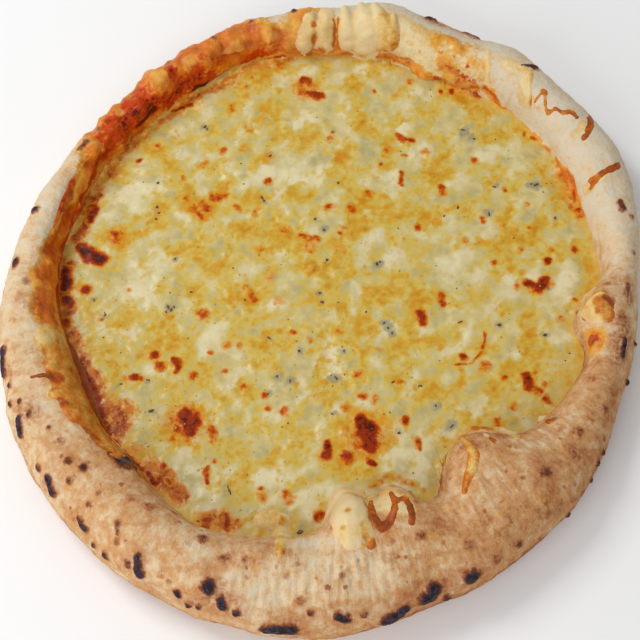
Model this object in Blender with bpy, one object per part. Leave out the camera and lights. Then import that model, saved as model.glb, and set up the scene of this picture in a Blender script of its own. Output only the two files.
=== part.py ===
"""A four cheese pizza with a puffed rim, built alone and resting on its flat underside.

Metres, +Z up. The origin is the middle of the underside. Compass angles run anticlockwise
seen from above: 0 is +X (right), 90 is +Y (back), 180 is left and 270 is the front.

The crust is one solid: a thin base that rises into an uneven, hand-shaped rim. Tomato sauce
lies on the base and climbs the inner face of the rim at the back left. The melted cheese
lies on the sauce, and each piece of cheese that flowed or fell on the rim is a solid of its
own, laid on the rim's skin. Places on the rim are a compass angle and a turn: 0 is the foot
of the inner face, 1 the crest, 2 the widest point outside and 3 the edge of the underside.
"""
import math
from collections import namedtuple

import bmesh
import bpy
from mathutils import Vector, noise
from mathutils.bvhtree import BVHTree

MM = 0.001
FULL_TURN = 2 * math.pi

# The layers, from the underside up
BASE_TOP = 3.0 * MM
SAUCE_OFF_BASE = 0.55 * MM
SAUCE_THICK = 1.0 * MM
CHEESE_OFF_SAUCE = 0.35 * MM
CHEESE_LEVEL = 8.0 * MM

# The rim in millimetres at 16 even compass angles, from 0 anticlockwise
RIM_OUTER = (160, 174, 178, 179, 175, 165, 156, 155, 159, 164, 171, 175, 176, 169, 166, 159)
RIM_FOOT = (143, 147, 152, 149, 151, 147, 139, 137, 134, 128, 129, 135, 127, 124, 123, 134)
RIM_HEIGHT = (27, 28, 28, 28, 27, 25, 24, 25, 28, 31, 34, 35, 35, 34, 33, 29)

# Where the whole rim puffs up or sinks: compass angle and half width in degrees, then how
# far its foot moves inwards, its outer wall outwards and its crest up, in millimetres
Puff = namedtuple("Puff", "angle spread inwards outwards up")
PUFFS = (
    Puff(14, 5, 0, 1, -2),
    Puff(28, 6, 1, 1, 1),
    Puff(50, 6, 0, 1, 2),
    Puff(64, 6, 2, -1, -2),
    Puff(78, 6, 0, 2, 2),
    Puff(106, 5, -2, 1, -1),
    Puff(122, 7, 1, 1, 2),
    Puff(145, 4, -1, 0, -2),
    Puff(160, 6, 1, 1, 2),
    Puff(187, 8, 2, 1, 2),
    Puff(205, 7, 0, 1, -2),
    Puff(226, 5, 2, -1, -1),
    Puff(240, 9, 0, 0, 2),
    Puff(277, 4.5, 20, 0, 3),
    Puff(287, 5, 18, 0, 3),
    Puff(304, 5, 14, 0, 2),
    Puff(312, 6, 17, 0, 4),
    Puff(354, 6, 13, 1, 4),
)

# Single large bubbles in the skin: compass angle, turn, half width and swell in mm
Bubble = namedtuple("Bubble", "angle turn width swell")
BUBBLES = (
    Bubble(36, 1.10, 8, 1.5),
    Bubble(67, 1.00, 8, 1.5),
    Bubble(92, 0.80, 7, 1.5),
    Bubble(116, 0.50, 6, 1.5),
    Bubble(127, 0.65, 6, 1.5),
    Bubble(138, 0.45, 6, 1.5),
    Bubble(150, 0.60, 6, 1.5),
    Bubble(172, 1.10, 8, 1.5),
    Bubble(215, 1.40, 9, 1.5),
    Bubble(250, 1.45, 9, 1.5),
    Bubble(262, 1.00, 8, 1.0),
    Bubble(276, 0.75, 9, 2.5),
    Bubble(296, 1.50, 10, 1.5),
    Bubble(309, 0.70, 9, 2.5),
    Bubble(325, 1.40, 9, 1.5),
    Bubble(354, 0.75, 8, 2.5),
)

# Small swellings all over the rim
SWELL_SIZE = 19.0 * MM
SWELL_HEIGHT = 1.8 * MM

# The rim's section: where its crest and widest point lie, as shares of its width and
# height, how far it curls in to the underside, and how full its two faces are
CREST_SHARE = 0.46
WIDEST_SHARE = 0.40
CURL_UNDER = 8.0 * MM
INNER_FULLNESS = 0.85
OUTER_FULLNESS = 0.92

# The mesh has a spoke every few degrees, closer at the front right, where puffs are narrow
COARSE_DEGREES = 3
FINE_DEGREES = 2
FINE_FROM_DEGREES = 270
INNER_STEPS = 6
OUTER_STEPS = 6
UNDER_STEPS = 3
SHARP_EDGE = math.radians(50)


def clear_scene():
    for item in list(bpy.data.objects):
        bpy.data.objects.remove(item, do_unlink=True)


def finish(name, colour, roughness):
    """A plain Principled material."""
    material = bpy.data.materials.new(name)
    material.use_nodes = True
    shader = material.node_tree.nodes["Principled BSDF"]
    shader.inputs["Base Color"].default_value = (*colour, 1.0)
    shader.inputs["Roughness"].default_value = roughness
    shader.inputs["Metallic"].default_value = 0.0
    return material


def add_solid(name, points, faces, material):
    """One named object with its faces turned outwards, shaded smooth."""
    mesh = bpy.data.meshes.new(name)
    work = bmesh.new()
    corners = [work.verts.new(point) for point in points]
    for face in faces:
        work.faces.new([corners[index] for index in face])
    bmesh.ops.recalc_face_normals(work, faces=work.faces)
    work.to_mesh(mesh)
    work.free()
    mesh.shade_smooth()
    mesh.set_sharp_from_angle(angle=SHARP_EDGE)
    mesh.materials.append(material)
    solid = bpy.data.objects.new(name, mesh)
    bpy.context.scene.collection.objects.link(solid)
    return solid


# ---------------------------------------------------------------- the rule of the rim

def blend(before, start, end, after, share):
    """A smooth value between start and end, which leans towards its two neighbours."""
    square, cube = share ** 2, share ** 3
    return (
        (2 * cube - 3 * square + 1) * start
        + (cube - 2 * square + share) * (end - before) / 2
        + (3 * square - 2 * cube) * end
        + (cube - square) * (after - start) / 2
    )


def around(stations, angle):
    """A smooth value at an angle in radians from values at even compass angles."""
    place = angle % FULL_TURN / FULL_TURN * len(stations)
    first = int(place)
    near = [stations[(first + step) % len(stations)] for step in (-1, 0, 1, 2)]
    return blend(*near, place - first)


def puffed(angle, field):
    """The sum of one field of all puffs at an angle."""
    total = 0.0
    for puff in PUFFS:
        away = (math.degrees(angle) - puff.angle + 180) % 360 - 180
        total += getattr(puff, field) * math.exp(-(away / puff.spread) ** 2)
    return total


def rim_foot(angle):
    return (around(RIM_FOOT, angle) - puffed(angle, "inwards")) * MM


def rim_outer(angle):
    return (around(RIM_OUTER, angle) + puffed(angle, "outwards")) * MM


def rim_height(angle):
    return (around(RIM_HEIGHT, angle) + puffed(angle, "up")) * MM


def section(angle, turn):
    """Radius and height on the rim's plain section: three quarters of an uneven oval."""
    foot, outer, height = rim_foot(angle), rim_outer(angle), rim_height(angle)
    crest = foot + (outer - foot) * CREST_SHARE
    widest = height * WIDEST_SHARE
    swing = turn % 1 * math.pi / 2 if turn < 3 else math.pi / 2
    if turn < 1:
        radius = crest - (crest - foot) * math.cos(swing) ** INNER_FULLNESS
        level = BASE_TOP + (height - BASE_TOP) * math.sin(swing) ** INNER_FULLNESS
    elif turn < 2:
        radius = crest + (outer - crest) * math.sin(swing) ** OUTER_FULLNESS
        level = widest + (height - widest) * math.cos(swing) ** OUTER_FULLNESS
    else:
        radius = outer - CURL_UNDER * (1 - math.cos(swing))
        level = widest * (1 - math.sin(swing))
    return radius, level


def plain_point(angle, turn):
    radius, level = section(angle, turn)
    return Vector((radius * math.cos(angle), radius * math.sin(angle), level))


def outward(angle, turn):
    """The direction out of the plain rim's skin."""
    nudge = 0.02
    low, high = max(turn - nudge, 0.0), min(turn + nudge, 3.0)
    along = plain_point(angle + nudge, turn) - plain_point(angle - nudge, turn)
    across = plain_point(angle, high) - plain_point(angle, low)
    return across.cross(along).normalized()


def swelling(point):
    """How far the dough's bubbles push the skin out at a point."""
    swell = SWELL_HEIGHT * noise.noise(point / SWELL_SIZE)
    for bubble in BUBBLES:
        middle = plain_point(math.radians(bubble.angle), bubble.turn)
        away = (point - middle).length / (bubble.width * MM)
        swell += bubble.swell * MM * math.exp(-away * away)
    return swell


def rim_point(angle, turn, lift=0.0):
    """A point on the rim's skin or lifted off it. Its swellings fade out at both edges."""
    point = plain_point(angle, turn)
    fade = min(1.0, 3 * turn, 1.2 * (3 - turn))
    return point + outward(angle, turn) * (swelling(point) * fade + lift)


# ---------------------------------------------------------------- rings and lofts

def compass():
    """The angles of the mesh's spokes."""
    coarse = range(0, FINE_FROM_DEGREES, COARSE_DEGREES)
    fine = range(FINE_FROM_DEGREES, 360, FINE_DEGREES)
    return [math.radians(degrees) for degrees in (*coarse, *fine)]


def rim_ring(turn_of, lift=0.0):
    """A ring on the rim's skin, from a turn for each angle."""
    return [rim_point(angle, turn_of(angle), lift) for angle in compass()]


def foot_ring(inset, level):
    """A level ring inside the rim's foot, square to its winding line."""
    ring = rim_ring(lambda angle: 0.0, inset)
    return [Vector((point.x, point.y, level)) for point in ring]


def inner_ring(share, level_of):
    """A ring at a share of the foot's radius, with a level for each place."""
    ring = []
    for angle in compass():
        radius = rim_foot(angle) * share
        x, y = radius * math.cos(angle), radius * math.sin(angle)
        ring.append(Vector((x, y, level_of(x, y))))
    return ring


def loft(rings, top, bottom):
    """Points and faces of a closed body: rings from the top's middle outwards, round the
    edge and back to the bottom's middle, each end closed by a fan round its point."""
    points = [top] + [point for ring in rings for point in ring] + [bottom]
    spokes = len(rings[0])
    last_ring = 1 + (len(rings) - 1) * spokes
    last = len(points) - 1
    faces = []
    for spoke in range(spokes):
        after = (spoke + 1) % spokes
        faces.append((0, 1 + spoke, 1 + after))
        for here in range(1, last_ring, spokes):
            below = here + spokes
            faces.append((here + spoke, below + spoke, below + after, here + after))
        faces.append((last, last_ring + after, last_ring + spoke))
    return points, faces


# ---------------------------------------------------------------- crust

BASE_RING_SHARES = (0.5, 0.9)


def build_crust():
    """The baked dough: a thin flat base with the puffed rim, in one piece."""
    rings = [inner_ring(share, lambda x, y: BASE_TOP) for share in BASE_RING_SHARES]
    turns = [step / INNER_STEPS for step in range(INNER_STEPS + 1)]
    turns += [1 + (step + 1) / OUTER_STEPS for step in range(OUTER_STEPS)]
    turns += [2 + (step + 1) / UNDER_STEPS for step in range(UNDER_STEPS)]
    rings += [rim_ring(lambda angle, turn=turn: turn) for turn in turns]
    rings += [inner_ring(share, lambda x, y: 0.0) for share in reversed(BASE_RING_SHARES)]
    points, faces = loft(rings, Vector((0, 0, BASE_TOP)), Vector((0, 0, 0)))
    add_solid("crust", points, faces, finish("baked_dough", (0.68, 0.45, 0.25), 0.75))


# ---------------------------------------------------------------- tomato sauce

# How far the sauce climbs the rim's inner face at 16 even compass angles, in hundredths
# of the way from the foot to the crest
SAUCE_CLIMB = (7, 7, 7, 7, 8, 62, 85, 80, 55, 34, 28, 10, 7, 7, 7, 7)
SAUCE_LEAST_CLIMB = 5
SAUCE_STEPS = 4


def build_sauce():
    """A thin layer over the whole base that climbs the rim's inner face."""
    low, high = SAUCE_OFF_BASE, SAUCE_OFF_BASE + SAUCE_THICK

    def climb(angle, share):
        return max(around(SAUCE_CLIMB, angle), SAUCE_LEAST_CLIMB) / 100 * share

    shares = [(step + 1) / SAUCE_STEPS for step in range(SAUCE_STEPS)]
    front, back = (
        [rim_ring(lambda angle, share=share: climb(angle, share), lift) for share in shares]
        for lift in (high, low)
    )
    rings = [foot_ring(high, BASE_TOP + high), *front]
    rings += [*reversed(back), foot_ring(low, BASE_TOP + low)]
    top, bottom = Vector((0, 0, BASE_TOP + high)), Vector((0, 0, BASE_TOP + low))
    points, faces = loft(rings, top, bottom)
    add_solid("tomato_sauce", points, faces, finish("cooked_tomato", (0.45, 0.06, 0.02), 0.3))


# ---------------------------------------------------------------- melted cheese

CHEESE_RINGS = 8
CHEESE_WAVE_SIZE = 24.0 * MM
CHEESE_WAVE = 1.1 * MM
CHEESE_LAST_RING = 0.97
CHEESE_EDGE_DROP = 1.2 * MM
# The edge's three rings from the top down: inset from the sauce, and level over the floor
CHEESE_EDGE_INSETS = (0.4 * MM, 0.1 * MM, 0.5 * MM)
CHEESE_EDGE_WAIST = 1.0 * MM


def cheese_surface(x, y):
    """The level of the cheese's uneven skin."""
    return CHEESE_LEVEL + CHEESE_WAVE * noise.noise(Vector((x, y, 0)) / CHEESE_WAVE_SIZE)


def build_cheese():
    """The melted cheeses as one pool between the rim's inner faces."""
    clear = SAUCE_OFF_BASE + SAUCE_THICK + CHEESE_OFF_SAUCE
    floor = BASE_TOP + clear
    brow, waist, heel = (foot_ring(clear + inset, floor) for inset in CHEESE_EDGE_INSETS)
    for point in brow:
        point.z = cheese_surface(point.x, point.y) - CHEESE_EDGE_DROP
    for point in waist:
        point.z += CHEESE_EDGE_WAIST
    shares = [math.sqrt(ring / CHEESE_RINGS) * CHEESE_LAST_RING for ring in range(1, CHEESE_RINGS)]
    rings = [inner_ring(share, cheese_surface) for share in shares] + [brow, waist, heel]
    top = Vector((0, 0, cheese_surface(0, 0)))
    points, faces = loft(rings, top, Vector((0, 0, floor)))
    add_solid("melted_cheese", points, faces, finish("melted_cheese", (0.76, 0.60, 0.25), 0.35))


# ---------------------------------------------------------------- cheese on the rim

LAID_GAP = 0.8 * MM
EDGE_THICK = 0.25 * MM
CAST_FROM = 14.0 * MM
RIM_MIDDLE = 15.0 * MM
ACROSS_PER_TURN = 25.0 * MM


class Skin:
    """The faces of finished solids, for laying a piece on whatever is under it."""

    def __init__(self, *names):
        points, faces = [], []
        for name in names:
            mesh = bpy.data.objects[name].data
            first = len(points)
            points += [vertex.co.copy() for vertex in mesh.vertices]
            faces += [[first + index for index in face.vertices] for face in mesh.polygons]
        self.tree = BVHTree.FromPolygons(points, faces)

    def point(self, degrees, turn, along, across, lift):
        """A place that lies some way along and across the rim from an angle and a turn,
        lifted off whatever skin is there."""
        angle = math.radians(degrees)
        angle += along / (rim_foot(angle) + RIM_MIDDLE)
        turn += across / ACROSS_PER_TURN
        out = outward(angle, turn)
        start = plain_point(angle, turn) + out * CAST_FROM
        return self.tree.ray_cast(start, -out)[0] + out * lift


def smooth_path(stops, steps):
    """Stops of several values each, joined by a smooth curve, with steps between stops."""
    ends = [stops[0], *stops, stops[-1]]
    path = []
    for near in zip(ends, ends[1:], ends[2:], ends[3:]):
        for step in range(steps):
            path.append([blend(*values, step / steps) for values in zip(*near)])
    return [*path, stops[-1]]


# A strand's section, from one side to the other, as shares of its half width
STRAND_FRONT = (0.96, 0.55, 0.0, -0.55, -0.96)
STRAND_BACK_EDGE = 0.9
STRAND_STEPS = 3
BROAD_STRAND_MM = 3.0


def strand(skin, stops, thick, sunk=LAID_GAP):
    """Points and faces of a strand of cheese laid on the rim. Each stop is a compass
    angle, a turn and a half width in mm. Its back follows the skin, its front is rounded,
    and sunk is how far its back is off the skin, or below it where negative."""
    path = smooth_path(stops, STRAND_STEPS)
    halves = 3 if max(stop[2] for stop in stops) > BROAD_STRAND_MM else 1
    back = [(STRAND_BACK_EDGE * side / halves, sunk) for side in range(-halves, halves + 1)]
    front = [
        (share, max(sunk, 0) + EDGE_THICK + thick * math.sqrt(1 - share ** 2))
        for share in STRAND_FRONT
    ]
    section_places = back + front
    points = []
    for index, (degrees, turn, half) in enumerate(path):
        ahead, behind = path[min(index + 1, len(path) - 1)], path[max(index - 1, 0)]
        radius = rim_foot(math.radians(degrees)) + RIM_MIDDLE
        run = math.radians(ahead[0] - behind[0]) * radius
        rise = (ahead[1] - behind[1]) * ACROSS_PER_TURN
        reach = half * MM / math.hypot(run, rise)
        for share, lift in section_places:
            along, across = -rise * reach * share, run * reach * share
            points.append(skin.point(degrees, turn, along, across, lift))
    sides = len(section_places)
    faces = []
    for row in range(0, len(points) - sides, sides):
        for side in range(sides):
            here, after = row + side, row + (side + 1) % sides
            faces.append((here, after, after + sides, here + sides))
    faces.append(range(sides))
    faces.append(range(len(points) - sides, len(points)))
    return points, faces


Lump = namedtuple("Lump", "angle turn along across thick lobes phase")
LUMP_SPOKES = 20
LUMP_FRONT = (0.32, 0.64, 0.96)
LUMP_BACK = (0.93, 0.64, 0.32)
LOBE_DEPTH = 0.16
LOBE_SKEW = 0.06
LUMP_BUMPS = 0.2


def lump(skin, shape):
    """Points and faces of a melted lump laid on the rim, with an outline of a few rounded
    lobes and a domed, bumpy top."""

    def place(spoke, share, lift):
        swing = FULL_TURN * spoke / LUMP_SPOKES
        lobes = LOBE_DEPTH * math.cos(shape.lobes * swing + shape.phase)
        reach = (1 + lobes + LOBE_SKEW * math.sin(2 * swing)) * share * MM
        along = shape.along * math.cos(swing) * reach
        across = shape.across * math.sin(swing) * reach
        return skin.point(shape.angle, shape.turn, along, across, lift)

    def dome(share):
        bumps = 1 + LUMP_BUMPS * math.cos(3 * shape.lobes * share + shape.phase)
        return LAID_GAP + EDGE_THICK + shape.thick * MM * bumps * math.sqrt(1 - share ** 2)

    rings = [[place(spoke, share, dome(share)) for spoke in range(LUMP_SPOKES)]
             for share in LUMP_FRONT]
    rings += [[place(spoke, share, LAID_GAP) for spoke in range(LUMP_SPOKES)]
              for share in LUMP_BACK]
    return loft(rings, place(0, 0, dome(0)), place(0, 0, LAID_GAP))


# Lumps: compass angle, turn, half sizes along and across and thickness in mm, then the
# lobes of the outline and their phase
RIM_LUMPS = {
    "cheese_flow_back": Lump(80.0, 0.68, 14, 14, 3.4, 5, 0.6),
    "cheese_lump_back": Lump(92.0, 0.55, 10.5, 9.5, 2.2, 3, 1.2),
    "cheese_lump_right": Lump(353.2, 0.66, 7.5, 9, 2.2, 3, 2.0),
}

# Strands: their thickness in mm, then the stops they run through
RIM_STRANDS = {
    "cheese_strip_left": (2.0, (
        (192.0, 0.74, 4.5), (194.0, 0.74, 7.0), (198.5, 0.70, 7.0), (204.0, 0.64, 7.0),
        (210.0, 0.60, 5.5), (216.0, 0.58, 4.0), (222.0, 0.52, 3.0), (227.0, 0.46, 1.5),
    )),
    "cheese_drape_front": (2.4, (
        (276.5, 0.34, 4.5), (275.5, 0.58, 6.5), (275.8, 0.80, 6.5), (277.5, 1.02, 4.0),
    )),
    "cheese_drip_front": (2.2, (
        (259.5, 0.34, 3.5), (260.3, 0.50, 5.5), (261.8, 0.66, 3.5), (262.5, 0.84, 1.5),
    )),
    "cheese_loops_front": (1.8, (
        (282.6, 0.36, 1.5), (281.6, 0.64, 1.7), (282.6, 0.90, 1.9), (284.9, 0.88, 1.9),
        (285.8, 0.66, 1.6), (287.8, 0.50, 1.6), (290.0, 0.52, 1.7), (290.2, 0.72, 1.8),
        (288.9, 0.98, 1.6),
    )),
    "cheese_strand_right": (2.0, (
        (309.5, 0.46, 1.5), (308.0, 0.60, 2.2), (306.5, 0.76, 2.6), (303.8, 0.84, 2.4),
        (300.5, 0.88, 1.4),
    )),
    "cheese_lip_right": (1.5, (
        (311.8, 0.34, 1.5), (315.0, 0.36, 2.2), (318.5, 0.42, 2.2), (322.0, 0.52, 1.5),
    )),
}


def build_rim_cheese():
    """Cheese that flowed or fell on the rim, each piece a solid of its own."""
    skin = Skin("crust", "tomato_sauce")
    melted = finish("browned_cheese", (0.78, 0.52, 0.16), 0.4)
    for name, shape in RIM_LUMPS.items():
        add_solid(name, *lump(skin, shape), melted)
    for name, (thick, stops) in RIM_STRANDS.items():
        add_solid(name, *strand(skin, stops, thick * MM), melted)


# ---------------------------------------------------------------- shreds baked on the rim

# Thin burnt shreds and drips, part of the crust: thickness in mm, then their stops
BAKED_SHREDS = (
    (1.0, ((43.4, 0.58, 0.9), (43.6, 0.92, 1.0), (41.2, 0.72, 1.0), (39.6, 0.78, 1.0),
           (37.4, 0.95, 1.0), (35.4, 1.11, 0.9))),
    (1.2, ((33.0, 1.35, 1.0), (32.6, 1.15, 1.4), (30.8, 0.94, 1.0))),
    (1.2, ((23.4, 1.34, 1.0), (22.6, 0.92, 1.4), (22.6, 0.50, 1.1))),
    (1.2, ((56.7, 1.02, 1.0), (55.1, 0.72, 1.5), (53.8, 0.41, 1.0))),
    (1.2, ((48.0, 1.09, 1.0), (45.9, 0.78, 1.5), (44.3, 0.46, 1.0))),
)
SHRED_SUNK = -1.2 * MM


def fuse_shreds():
    """Joins the thin baked shreds to the crust, in one union."""
    crust = bpy.data.objects["crust"]
    skin = Skin("crust")
    shreds = bpy.data.collections.new("shreds")
    bpy.context.scene.collection.children.link(shreds)
    for number, (thick, stops) in enumerate(BAKED_SHREDS):
        points, faces = strand(skin, stops, thick * MM, SHRED_SUNK)
        shred = add_solid(f"shred_{number}", points, faces, crust.data.materials[0])
        bpy.context.scene.collection.objects.unlink(shred)
        shreds.objects.link(shred)
    union = crust.modifiers.new("fuse", "BOOLEAN")
    union.operation = "UNION"
    union.operand_type = "COLLECTION"
    union.collection = shreds
    graph = bpy.context.evaluated_depsgraph_get()
    fused = bpy.data.meshes.new_from_object(crust.evaluated_get(graph))
    crust.modifiers.remove(union)
    crust.data = fused
    for shred in list(shreds.objects):
        bpy.data.objects.remove(shred, do_unlink=True)
    bpy.data.collections.remove(shreds)


clear_scene()
build_crust()
build_sauce()
build_cheese()
build_rim_cheese()
fuse_shreds()
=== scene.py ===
"""The looks of a four cheese pizza with a puffed rim, built round the solids of its frame.

Metres, +Z up, origin in the middle of the underside. The pizza is made in the order it was
put together: dough, sauce, cheese, the cheese that ran on the rim, then floor and light.
"""
import math

import bmesh
import bpy
import numpy as np
from mathutils import Euler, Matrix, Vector, noise
from mathutils.bvhtree import BVHTree


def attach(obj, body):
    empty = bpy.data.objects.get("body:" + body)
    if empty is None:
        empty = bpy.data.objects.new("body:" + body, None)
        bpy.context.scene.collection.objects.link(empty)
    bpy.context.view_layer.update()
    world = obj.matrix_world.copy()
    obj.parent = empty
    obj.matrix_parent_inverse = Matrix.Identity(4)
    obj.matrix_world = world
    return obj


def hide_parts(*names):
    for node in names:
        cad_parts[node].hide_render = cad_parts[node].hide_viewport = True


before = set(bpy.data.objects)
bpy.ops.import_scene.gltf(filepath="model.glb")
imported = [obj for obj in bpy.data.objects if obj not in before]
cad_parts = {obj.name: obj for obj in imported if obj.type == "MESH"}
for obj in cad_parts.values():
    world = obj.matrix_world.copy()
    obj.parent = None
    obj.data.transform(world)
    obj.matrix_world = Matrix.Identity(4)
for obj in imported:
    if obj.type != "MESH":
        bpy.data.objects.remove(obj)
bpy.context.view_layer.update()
MM = 0.001

# ---------------------------------------------------------------- the point of view
# The pizza is looked down on from the front. Marks that the real one shows are given as
# pixels of its square picture, and lie on the food where the line of sight meets it.

PICTURE = 640
FIELD = 321 * MM
PIXEL = FIELD / PICTURE
AIM = Vector((0, -15 * MM, 12 * MM))
DISTANCE = 750 * MM
ELEVATION = math.radians(64)
SENSOR_MM = 36

towards_camera = Vector((0, -math.cos(ELEVATION), math.sin(ELEVATION)))
lens = bpy.data.cameras.new("viewpoint")
lens.sensor_width = SENSOR_MM
lens.lens = SENSOR_MM * DISTANCE / FIELD
camera = bpy.data.objects.new("viewpoint", lens)
camera.location = AIM + towards_camera * DISTANCE
camera.rotation_mode = "QUATERNION"
camera.rotation_quaternion = (-towards_camera).to_track_quat("-Z", "Y")
bpy.context.scene.collection.objects.link(camera)
bpy.context.scene.camera = camera


def under(target, x, y):
    """The point and the normal of a surface under a pixel. A pixel just past the edge of
    the food counts as the nearest one on it."""
    while True:
        across, up = x - PICTURE / 2, PICTURE / 2 - y
        sight = Vector((across * PIXEL, up * PIXEL, -DISTANCE))
        sight.rotate(camera.rotation_quaternion)
        point, normal = target.ray_cast(camera.location, sight)[:2]
        if point:
            return point, normal
        inwards = Vector((-across, up)).normalized()
        x, y = x + inwards.x, y + inwards.y


# ---------------------------------------------------------------- baked dough
# A hand-stretched disc of wheat dough whose rim puffed up in the oven. Its skin is dry and
# floury, freckled and charred where blisters met the heat, and orange where sauce and oil
# soaked in. It is one piece with its thin flat base.

SPOKES = 1000
ROWS = 92
RAYS = 72
LOW_ON_WALL = 5 * MM
RIM_CORE = 12 * MM
BEYOND = 400 * MM
BASE_TOP = 3 * MM
UNDERSIDE_RINGS = (0.93, 0.84, 0.7, 0.5, 0.25)
SMOOTHING_ROUND = 10
SMOOTHING_ACROSS = 2
# The rim's skin laid out flat is a closed band of this radius
BAND_RADIUS = 160 * MM
BEYOND_BAND = 100 * MM
INNER_SHARE = 0.4
# Relief starts above the flat underside, and the lower side of the rim browns more
FLAT_BELOW = 1 * MM
FREE_OVER = 3 * MM
BROWNER_BELOW = RIM_CORE * 1.6
BROWNER_BY = 0.5
# Lumps that rise where oil and sauce soaked in
KNOB_SIZE, SMALL_KNOB_SIZE, KNOB_HEIGHT = 11 * MM, 5 * MM, 2.8 * MM
# Marks: the finest width, how far a soft edge reaches, in half widths, and wobbles
FINEST = 0.9 * MM
SOFT_EDGE = 1.5
CHAR_WOBBLE, SOAK_WOBBLE, FLOUR_WOBBLE = 0.9 * MM, 1.5 * MM, 2 * MM
# The noise that makes their outlines uneven would change with the clock without a seed
MARK_SEED = 5
noise.seed_set(MARK_SEED)


def tree_of(*pieces):
    """The faces of pieces, for ray casts."""
    points, faces = [], []
    for piece in pieces:
        first = len(points)
        points += [vertex.co.copy() for vertex in piece.data.vertices]
        faces += [[first + index for index in face.vertices] for face in piece.data.polygons]
    return BVHTree.FromPolygons(points, faces)


def smoothed(grid, rounds, axis, closed):
    """A grid of points with each one drawn towards its neighbours along one axis."""
    for _ in range(rounds):
        ahead, behind = np.roll(grid, -1, axis), np.roll(grid, 1, axis)
        blurred = grid / 2 + (ahead + behind) / 4
        if not closed:
            blurred[:, 0], blurred[:, -1] = grid[:, 0], grid[:, -1]
        grid = blurred
    return grid


def rim_grid(solid):
    """Even rows of points over the rim's skin at each spoke, from low on its inner wall,
    over the crest and down its outside to the underside."""
    grid = np.empty((SPOKES, ROWS, 3))
    for spoke in range(SPOKES):
        angle = 2 * math.pi * spoke / SPOKES
        out = Vector((math.cos(angle), math.sin(angle), 0))
        level = Vector((0, 0, RIM_CORE))
        low = solid.ray_cast(Vector((0, 0, LOW_ON_WALL)), out)[0]
        core = (solid.ray_cast(level, out)[0] + solid.ray_cast(level + out * BEYOND, -out)[0]) / 2
        first = math.atan2(low.z - core.z, low.xy.length - core.xy.length) % (2 * math.pi)
        line = []
        for swing in np.linspace(first, -math.pi / 2, RAYS):
            ray = out * math.cos(swing) + Vector((0, 0, math.sin(swing)))
            line.append(solid.ray_cast(core, ray)[0])
        line = np.array(line)
        reach = np.concatenate(([0], np.cumsum(np.linalg.norm(np.diff(line, axis=0), axis=1))))
        even = np.linspace(0, reach[-1], ROWS)
        grid[spoke] = np.transpose([np.interp(even, reach, line[:, axis]) for axis in range(3)])
    grid = smoothed(grid, SMOOTHING_ROUND, 0, True)
    return smoothed(grid, SMOOTHING_ACROSS, 1, False)


def closed_mesh(name, rings, top, bottom):
    """A closed mesh of rings of points, from a middle point on top round to one below."""
    spokes = len(rings[0])
    points = [top, *(point for ring in rings for point in ring), bottom]
    starts = range(1, len(points) - 1, spokes)
    faces = []
    for spoke in range(spokes):
        after = (spoke + 1) % spokes
        faces.append((0, 1 + spoke, 1 + after))
        for here, below in zip(starts, starts[1:]):
            faces.append((here + spoke, below + spoke, below + after, here + after))
        faces.append((len(points) - 1, starts[-1] + after, starts[-1] + spoke))
    mesh = bpy.data.meshes.new(name)
    mesh.from_pydata([tuple(point) for point in points], [], faces)
    face_outwards(mesh)
    return mesh


def face_outwards(mesh):
    """Turns every face of a closed mesh outwards."""
    work = bmesh.new()
    work.from_mesh(mesh)
    bmesh.ops.recalc_face_normals(work, faces=work.faces)
    work.to_mesh(mesh)
    work.free()


def coordinates(mesh):
    """The places of a mesh's points, one row for each."""
    flat = np.empty(len(mesh.vertices) * 3)
    mesh.vertices.foreach_get("co", flat)
    return flat.reshape(-1, 3)


def remember(mesh, name, values):
    """Keeps a number or a vector for each point of a mesh, which its finish reads."""
    values = np.asarray(values, dtype=np.float32)
    kind, field = ("FLOAT", "value") if values.ndim == 1 else ("FLOAT_VECTOR", "vector")
    mesh.attributes.new(name, kind, "POINT").data.foreach_set(field, values.ravel())


def marked(points, marks, target, wobble):
    """How strongly marks lie on points, from 0 to 1. A mark is a strength and the stops of
    a stroke, each a pixel across and down and a width in pixels. A wobble in metres makes
    their outlines uneven."""
    total = np.zeros(len(points))
    drift = [noise.noise_vector(Vector(point) / (4 * wobble)) for point in points]
    points = points + np.array(drift) * wobble
    for strength, *stops in marks:
        placed = [(np.array(under(target, x, y)[0]), max(width * PIXEL / 2, FINEST))
                  for x, y, width in stops]
        for (start, wide), (end, wide_end) in zip(placed, placed[1:] or placed):
            along = end - start
            share = np.clip((points - start) @ along / max(along @ along, 1e-12), 0, 1)
            away = np.linalg.norm(points - start - share[:, None] * along, axis=1)
            radius = wide + (wide_end - wide) * share
            total = np.maximum(total, strength * np.clip(SOFT_EDGE - away / radius, 0, 1))
    return total


def around(stations, angles):
    """Values at even compass angles, joined smoothly, at other angles."""
    place = np.mod(angles / (2 * math.pi), 1) * len(stations)
    first = place.astype(int) % len(stations)
    share = place - np.floor(place)
    share = share * share * (3 - 2 * share)
    values = np.array(stations, float)
    return values[first] * (1 - share) + values[(first + 1) % len(stations)] * share


# Where the dough browned, from 0 to 1, at 16 even compass angles from the right. At the right
# and the front right the values also paint shade.
BROWNED_AND_SHADED = (0.50, 0.12, 0.06, 0.06, 0.10, 0.20, 0.20, 0.22, 0.42, 0.54, 0.74, 0.72, 0.68,
           0.92, 0.95, 0.85)

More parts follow.
